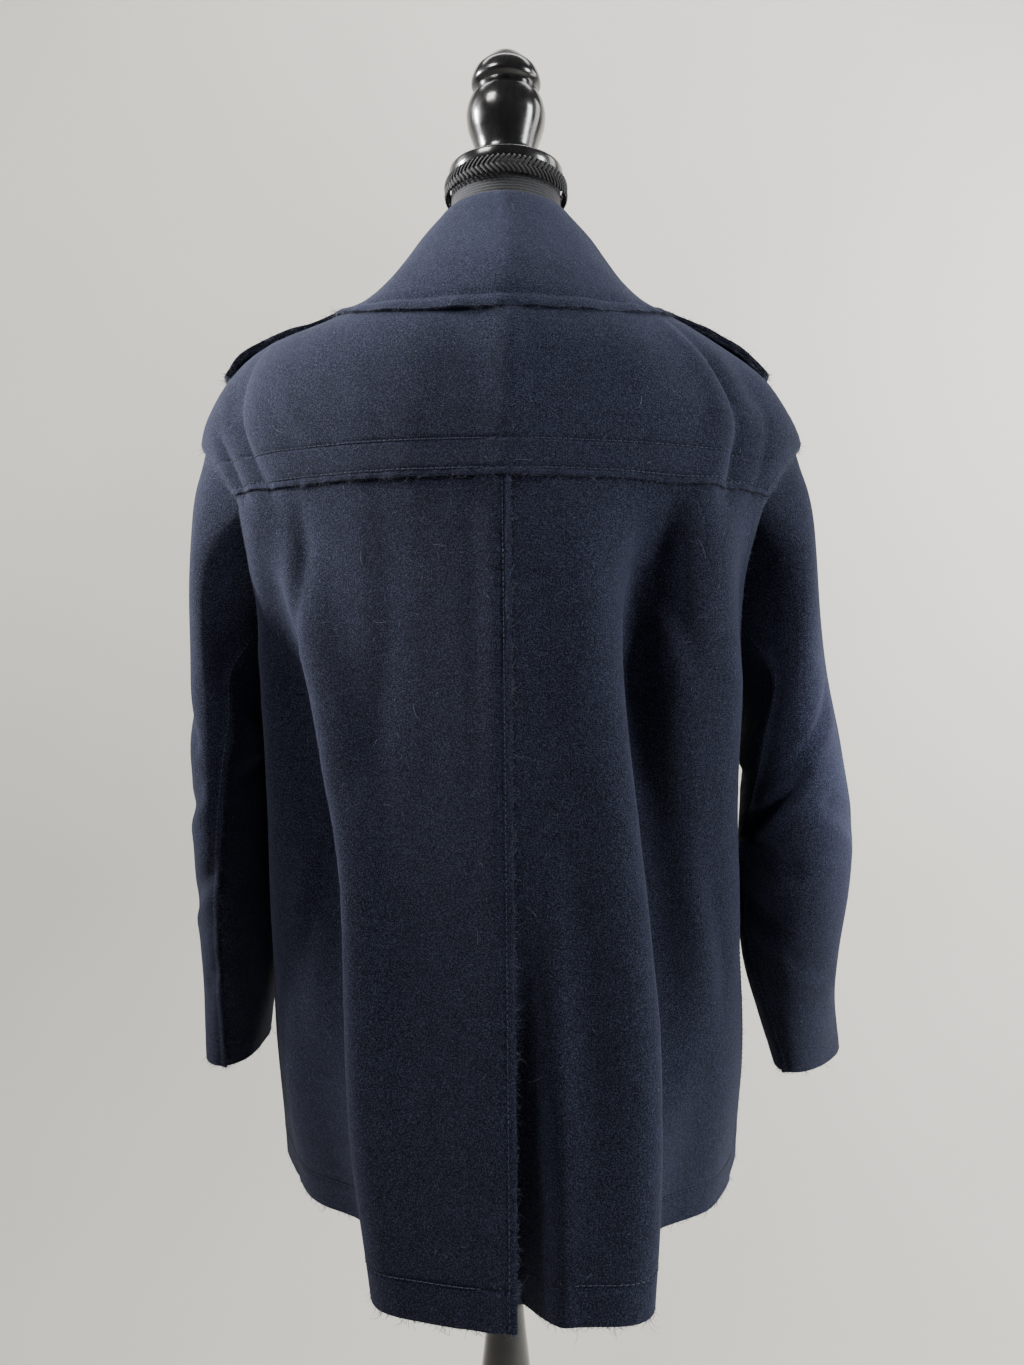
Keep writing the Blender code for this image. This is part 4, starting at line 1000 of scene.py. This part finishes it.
def build_collar():
    half = COLLAR[-1][0]
    near_ends = (half - 0.4, 0.4 - half, half - 2, 2 - half)
    angles = np.unique(np.append(np.linspace(-half, half, 150), near_ends))
    coarse = collar_points(angles)
    near_edge = 1 - np.array((0.0009, 0.004, 0.0058, 0.0075)) / COLLAR_FALL
    places = np.unique(np.round(np.concatenate([np.linspace(0, 1, 46), near_edge]), 5))
    points = refined(coarse, np.linspace(0, 1, len(coarse)), places)
    places = places[:, None]
    soft = waves(points, 31, 0.0008) * eased((places - 0.3) / 0.2)
    edge_wave = 0.0007 * bell(1 - places, 0.05) * np.sin(angles * 0.55 + 1.5 * np.sin(angles * 0.13))
    from_edge = (1 - places) * COLLAR_FALL
    lift = soft + edge_wave + groove(from_edge - SEAM_STITCH)
    lift = lift + 0.0009 * bell(from_edge - ROLL_PLACE, ROLL_WIDTH)
    return shell("coat_collar", points, lift - COLLAR_REST * eased((places - 0.75) / 0.25), "collar")


def build_epaulettes():
    heights, *shapes = columns_of(EPAULETTE)
    low = heights[0]
    rows = np.unique(np.append(np.linspace(low, EPAULETTE_TOP, 34), low + 0.0005))[::-1]
    near = np.clip(rows, low, heights[-1])
    back, front, rise = (smooth(heights, shape, near)[:, None] for shape in shapes)
    back = back - EPAULETTE_TURN
    fractions = np.unique(np.append(np.linspace(0, 1, 20), [0.02, 0.11, 0.13, 0.87, 0.89, 0.98]))
    made = []
    for side, name in ((1, "left"), (-1, "right")):
        angles = back + (front - back) * fractions
        wave = 0.0004 * np.sin(rows[:, None] * 330 + side) * (np.abs(fractions - 0.5) * 2) ** 2
        lift = rise + wave + 0.0008 * (1 - (2 * fractions - 1) ** 2)
        if side < 0:
            angles, lift = -angles[:, ::-1], lift[:, ::-1]
        points = body(angles, rows[:, None])
        lower = shell(f"coat_epaulette_{name}_lower", points, lift + 0.0027, thickness=0.0027)
        upper = shell(f"coat_epaulette_{name}", points, lift + 0.0062, f"epaulette_{name}", thickness=0.0028)
        made += [upper, lower]
    return made


# ---------------------------------------------------------------------------- form, stand and fittings


def turned(name, profile, finish, node, sides=96, per_step=3, place=None):
    """A smooth turned shape from (height, radius) rows, listed from the top down."""
    profile = np.array(profile, float)
    run = np.concatenate([[0], np.cumsum(np.linalg.norm(np.diff(profile, axis=0), axis=1))])
    wanted = np.unique(np.concatenate([np.linspace(a, b, per_step + 1) for a, b in zip(run, run[1:])]))
    fine = np.stack([np.interp(wanted, run, column) for column in profile.T])
    if per_step > 1:
        for _ in range(2):
            fine[:, 1:-1] = (fine[:, :-2] + 2 * fine[:, 1:-1] + fine[:, 2:]) / 4
    height, radius = fine
    turns = np.arange(sides) * 2 * math.pi / sides
    rings = [
        np.stack([r * np.sin(turns), r * np.cos(turns), np.full(sides, z)], -1)
        for z, r in zip(height[1:-1], radius[1:-1])
    ]
    vertices = np.concatenate([*rings, [[0, 0, height[0]], [0, 0, height[-1]]]])
    faces = quads(len(rings), sides, True).tolist()
    top, last = len(rings) * sides, (len(rings) - 1) * sides
    for i in range(sides):
        j = (i + 1) % sides
        faces += [(top, j, i), (top + 1, last + i, last + j)]
    if place is not None:
        origin, out, along = place
        vertices = vertices @ np.stack([along, np.cross(out, along), out], -1).T + origin
    add_piece(name, vertices, faces, finish, node, 35.0)


def build_form():
    angles = np.arange(120) * 3.0
    sine, cosine = np.sin(np.radians(angles)), np.cos(np.radians(angles))
    rings = [np.stack([r * sine, r * cosine, np.full(len(angles), z)], -1) for z, r in NECK_ROWS]
    clearance = FORM_CLEARANCE + FORM_CHEST_CLEARANCE * eased(-cosine / 0.5)
    rings += [moved_out(angles, height, -clearance) for height in FORM_UNDER_COAT]
    for height, half, back, front in TORSO:
        deep = np.where(cosine >= 0, back, front)
        rings.append(np.stack([half * sine, deep * cosine, np.full(len(angles), height)], -1))
    last = len(rings) - 1
    fine = refined(np.stack(rings), range(last + 1), np.linspace(0, last, last * 4 + 1))
    count, sides = fine.shape[:2]
    bottom = range((count - 1) * sides, count * sides)
    faces = quads(count, sides, True).tolist() + [tuple(range(sides))[::-1], tuple(bottom)]
    add_piece("form", fine, faces, "jersey", "dress_form")


def build_braid():
    """A flat braid of slanting strands in two rows, making a chevron round the neck."""
    count, middle, bend = 74, 1.5403, np.linspace(-1, 1, 6)
    step = 2 * math.pi / count
    paths = []
    for row, slant in ((0.0034, 1), (-0.0034, -1)):
        for i in range(count):
            turn = i * step + 0.75 * bend * step * slant
            radius = 0.0532 + 0.0011 * np.cos(1.4 * bend)
            height = middle + row - 0.0038 * bend - 0.0012 * np.abs(np.sin(turn))
            paths.append(np.stack([radius * np.sin(turn), radius * np.cos(turn), height], -1))
    add_piece("neck_braid_strands", *tubes(np.array(paths), 0.00125, 6), "braid", "neck_braid", sharp=0)


def build_button(side, name):
    height, angle = BUTTON_PLACE
    across, up, out = frame_at(side * angle, height)
    origin = np.array(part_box(f"epaulette_button_{name}")).mean(0) - out * BUTTON_THICK * 0.45
    # A raised rim round a sunk middle, in shares of the thickness and the radius.
    shares = (
        (0.62, 0.0), (0.62, 0.55), (0.95, 0.74), (1.0, 0.86),
        (0.75, 0.98), (0.35, 1.0), (0.0, 0.88), (0.0, 0.0),
    )
    profile = np.array(shares) * (BUTTON_THICK, BUTTON_RADIUS)
    turned(f"button_{name}", profile, "horn", f"epaulette_button_{name}", 48, place=(origin, out, across))
    # Two crossed threads, bowed up in the middle.
    paths = []
    bows = ((-1, 0), (-0.4, 0.0007), (0.4, 0.0007), (1, 0))
    for slope in (1, -1):
        reach = (across + up * slope) * 0.0016
        level = origin + out * BUTTON_THICK * 0.62
        paths.append([level + reach * along + out * bow for along, bow in bows])
    add_piece(f"button_thread_{name}", *tubes(np.array(paths), 0.00045, 6), "stitch", sharp=0)


def twisted(name, line, radius, node):
    """A cord of three strands laid round each other."""
    spacing, lay = 0.0009, 0.008
    line = resampled(np.array(line), spacing)
    along = unit(np.gradient(line, axis=0))
    side = unit(np.cross(along, (0.0, 1.0, 0.0)))
    other = np.cross(along, side)
    run = np.arange(len(line)) * spacing * 2 * math.pi / lay
    paths = [
        line + radius * 0.46 * (side * np.cos(run + turn)[:, None] + other * np.sin(run + turn)[:, None])
        for turn in (0.0, 2.094, 4.189)
    ]
    add_piece(name, *tubes(np.array(paths), radius * 0.54, 6), "cord", node, sharp=0)


def build_patch(name, height, middle, lift, node):
    """A leather patch with rounded corners; gives back the line of its stitches."""
    columns = np.linspace(0.5, -0.5, 17) * PATCH_WIDE
    rows = np.linspace(0.5, -0.5, 19)[:, None] * PATCH_HIGH
    beside = np.abs(columns) / PATCH_WIDE
    corner = np.clip((beside - 0.36) / 0.14, 0, 1)
    inside = np.minimum(0.5 - beside, 0.5 - np.abs(rows) / PATCH_HIGH)
    level = lift + PATCH_THICK - 0.0006 * bell(inside * PATCH_WIDE, 0.0016)
    level = level + groove((inside - 0.11) * PATCH_WIDE)
    angles = TOGGLE_ANGLE - (middle + columns) / METRES_PER_DEGREE
    points = body(angles, height + rows * (1 - 0.26 * corner ** 2))
    made = shell(name, points, level, node, "leather", PATCH_THICK)
    return [
        np.concatenate([grid[2, 2:-2], grid[2:-2, -3], grid[-3, -3:1:-1], grid[-3:1:-1, 2]])
        for grid in (made["outer"], made["normal"])
    ]


def build_toggles():
    under, over = CLOTH + 2 * GAP, LAYER + CLOTH + 2 * GAP
    on_patch = PATCH_THICK + CORD_RADIUS + 3 * GAP
    on_loop = over + on_patch + 2 * CORD_RADIUS + 2 * GAP
    turn = np.radians(np.linspace(90, -90, 15))
    end = [(LOOP_END + LOOP_HALF * math.cos(a), LOOP_HALF * math.sin(a)) for a in turn]
    loop = [(-PATCH_OUT, LOOP_HALF), (LOOP_STRAIGHT, LOOP_HALF), *end]
    loop += [(LOOP_STRAIGHT, -LOOP_HALF), (-PATCH_OUT, -LOOP_HALF)]
    strand = [(PATCH_OUT + 0.006, under + on_patch), (0.034, under + on_patch)]
    strand += [(0.019, on_loop), (-0.002, on_loop)]
    # The toggle is round and blunt, with a shallow waist where the cord holds it.
    profile = []
    for t in np.linspace(1, -1, 25):
        blunt, waist = math.sqrt(max(1 - abs(t) ** 3.2, 0)), 1 - 0.12 * math.exp(-(t / 0.12) ** 2)
        profile.append((TOGGLE_HALF * t, TOGGLE_RADIUS * blunt * waist))
    lines = []
    for number, height in enumerate(TOGGLE_HEIGHTS, 1):
        for side, middle, lift in (("left", PATCH_OUT, under), ("right", -PATCH_OUT, over)):
            name = f"patch_{side}_{number}"
            lines.append(build_patch(name, height, middle, lift, f"toggle_{name}"))
        line = [front_point(height, u, v, over + on_patch) for u, v in loop]
        twisted(f"loop_{number}", line, CORD_RADIUS, f"toggle_loop_{number}")
        line = [front_point(height, u, 0.0, w) for u, w in strand]
        twisted(f"cord_{number}", line, CORD_RADIUS, f"toggle_cord_{number}")
        across, up, out = frame_at(TOGGLE_ANGLE, height)
        origin = front_point(height, 0.0, 0.0, on_loop + CORD_RADIUS + TOGGLE_RADIUS)
        turned(f"horn_toggle_{number}", profile, "horn", f"toggle_{number}", 40, 2, (origin, up, across))
    stitches("patch_stitches", lines, 0.0030, 0.0021, 0.00028)


# ------------------------------------------------------------------------------------ seams and edges


def line_on(start, end, count, height, lift):
    """A stitch line round the body between two angles, with the cloth's normals."""
    angles = np.linspace(start, end, count)
    heights = np.broadcast_to(np.asarray(height, float), angles.shape)
    base = moved_out(angles, heights, pleats(angles, heights))
    normal = unit(moved_out(angles, heights, np.full(angles.shape, 0.01)) - body(angles, heights))
    return base + normal * (small_folds(base, angles, heights) + lift)[:, None], normal


def column_near(made, metres, last=True):
    """A line down a shell at a distance from its last or first column."""
    outer, normal = made["outer"], made["normal"]
    if last:
        outer, normal = outer[:, ::-1], normal[:, ::-1]
    run = np.cumsum(np.linalg.norm(np.diff(outer, axis=1), axis=2), axis=1)
    run = np.concatenate([np.zeros((len(outer), 1)), run], 1)
    line = [[np.interp(metres, along, axis) for axis in row.T] for along, row in zip(run, outer)]
    return np.array(line), normal[np.arange(len(outer)), np.argmin(np.abs(run - metres), axis=1)]


def build_details(backs, yoke, fronts, sleeves, collar, epaulettes):
    back_left, back_right = backs
    front_left, front_right = fronts
    halves = [half for pair in sleeves for half in pair]
    lap_heights = np.linspace(YOKE_EDGE + 0.002, HEM + 0.004, 260)
    lap_angles = lap_edge(lap_heights) + SEAM_STITCH / DEGREE
    hem = HEM + HEM_STITCH
    lines = [line_on(-60.5, 60.5, 300, YOKE_EDGE + above, LAYER + CLOTH) for above in YOKE_STITCH]
    lines.append(line_on(lap_angles[0], lap_angles[-1], 260, lap_heights, LAYER + CLOTH))
    hem_parts = ((0, 90, 160), (-90, -14, 150), (90, 166, 120), (-168, -90, 120))
    lines += [line_on(*part, hem, CLOTH) for part in hem_parts]
    lines += [column_near(yoke, 0.006), column_near(yoke, 0.006, False)]
    lines += [column_near(back_left, 0.010), column_near(back_right, 0.010, False)]
    lines.append(column_near(front_right, SEAM_STITCH, False))
    lines += [column_near(upper, SEAM_STITCH, "left" not in upper["name"]) for upper, under in sleeves]
    lines.append((collar["outer"][-4], collar["normal"][-4]))
    stitches("coat_stitches", lines)

    def edges(*places):
        return [edge_of(made, which) for made, names in places for which in names.split()]

    raw = edges((yoke, "bottom start end"), (back_left, "start bottom"), (back_right, "bottom"),
                (back_left, "end"), (back_right, "start"))
    fray("coat_fray_back", raw, 1900, 0.0032, 5)
    raw = edges((front_left, "bottom"), (front_right, "bottom start"), (front_left, "start"),
                (front_right, "end"))
    fray("coat_fray_front", raw, 1100, 0.0028, 6)
    raw = edges(*((made, "bottom start end") for made in (collar, *epaulettes)))
    fray("coat_fray_collar", raw, 2200, 0.0030, 7)
    raw = []
    for upper, under in sleeves:
        seam = "start" if "left" in upper["name"] else "end"
        raw += edges((upper, "bottom"), (under, "bottom"), (upper, seam))
    fray("coat_fray_sleeves", raw, 1400, 0.0026, 8)
    shells = [(back_left, 260), (back_right, 230), (yoke, 190), (collar, 90)]
    scatter(shells + [(half, 60) for half in halves])


# --------------------------------------------------------------------------------------------- studio

CAMERA_PLACE = (-0.0054, 0.92, 1.10)
LENS = 26.98
SKY_COLOUR, SKY_STRENGTH = (0.93, 0.96, 1.0, 1.0), 0.105
# Soft lights: name, place, aim, width, height, power, spread and colour.
LIGHTS = (
    ("window", (-2.05, 0.72, 1.75), (0.0, 0.0, 1.10), 0.4, 1.2, 66.0, 180, (0.96, 0.98, 1.0)),
    ("left_window", (1.90, -0.08, 1.95), (0.1, 0.05, 1.42), 0.25, 0.5, 7.0, 40, (0.98, 0.98, 1.0)),
    ("near_left", (0.60, 0.62, 2.15), (0.10, 0.0, 1.30), 0.3, 0.3, 12.0, 180, (1.0, 0.98, 0.95)),
    ("sleeve_light", (-0.95, 1.60, 1.30), (-0.37, 0.0, 1.06), 0.12, 0.12, 0.6, 11, (0.98, 0.99, 1.0)),
    ("wall_left", (1.6, -0.25, 1.9), (0.4, -1.2, 1.5), 0.6, 1.6, 10.0, 180, (1.0, 0.97, 0.92)),
    ("wall_right", (-1.6, -0.25, 1.7), (-0.4, -1.2, 1.2), 0.6, 1.8, 22.0, 180, (1.0, 0.98, 0.94)),
    ("wall_top", (0.0, -0.35, 3.0), (0.0, -1.3, 1.6), 2.0, 0.5, 18.0, 180, (1.0, 0.99, 0.97)),
)
# The floor's front edge, where it starts to sweep up behind the coat, its sweep's radius, its wall's top
# and half its width.
FLOOR_FRONT, FLOOR_BEND, FLOOR_RADIUS, WALL_TOP, FLOOR_HALF = 2.6, -0.5, 0.7, 3.2, 3.0


def placed(name, data, place=(0, 0, 0)):
    made = bpy.data.objects.new(name, data)
    made.location = place
    bpy.context.scene.collection.objects.link(made)
    return made


def build_studio():
    camera = bpy.data.cameras.new("camera")
    camera.lens, camera.sensor_width, camera.clip_start = LENS, 36.0, 0.02
    seen = placed("camera", camera, CAMERA_PLACE)
    seen.rotation_euler = (math.pi / 2, 0, math.pi)
    bpy.context.scene.camera = seen

    # A floor that sweeps up into a wall behind the coat.
    profile = [(FLOOR_FRONT, 0.0)]
    for turn in np.linspace(0, math.pi / 2, 16):
        y, z = FLOOR_BEND - FLOOR_RADIUS * math.sin(turn), FLOOR_RADIUS - FLOOR_RADIUS * math.cos(turn)
        profile.append((y, z))
    profile.append((FLOOR_BEND - FLOOR_RADIUS, WALL_TOP))
    vertices = [(x, y, z - 0.0005) for x in (-FLOOR_HALF, FLOOR_HALF) for y, z in profile]
    count = len(profile)
    mesh = bpy.data.meshes.new("floor")
    mesh.from_pydata(vertices, [], [(i, i + 1, count + i + 1, count + i) for i in range(count - 1)])
    mesh.shade_smooth()
    mesh.materials.append(floor_material())
    floor = placed("floor", mesh)

    world = bpy.data.worlds.new("studio")
    world.use_nodes = True
    sky = world.node_tree.nodes["Background"].inputs
    sky["Color"].default_value, sky["Strength"].default_value = SKY_COLOUR, SKY_STRENGTH
    bpy.context.scene.world = world
    for name, place, aim, wide, high, power, spread, colour in LIGHTS:
        light = bpy.data.lights.new(name, "AREA")
        light.shape, light.size, light.size_y = "RECTANGLE", wide, high
        light.energy, light.color, light.spread = power, colour, math.radians(spread)
        way = Vector(aim) - Vector(place)
        placed(name, light, place).rotation_euler = way.to_track_quat("-Z", "Y").to_euler()


def main():
    backs = build_backs()
    yoke = build_yoke()
    fronts = build_fronts()
    sleeves = [build_sleeve("left"), build_sleeve("right")]
    collar = build_collar()
    epaulettes = build_epaulettes()
    build_details(backs, yoke, fronts, sleeves, collar, epaulettes)
    build_button(1, "left")
    build_button(-1, "right")
    build_toggles()
    build_form()
    build_braid()
    turned("finial_turned", FINIAL, "lacquer", "finial")
    turned("pole_tube", POLE, "steel", "pole", per_step=1)
    turned("column_turned", COLUMN, "lacquer", "column")
    turned("base_turned", BASE, "lacquer", "base")
    build_studio()


main()
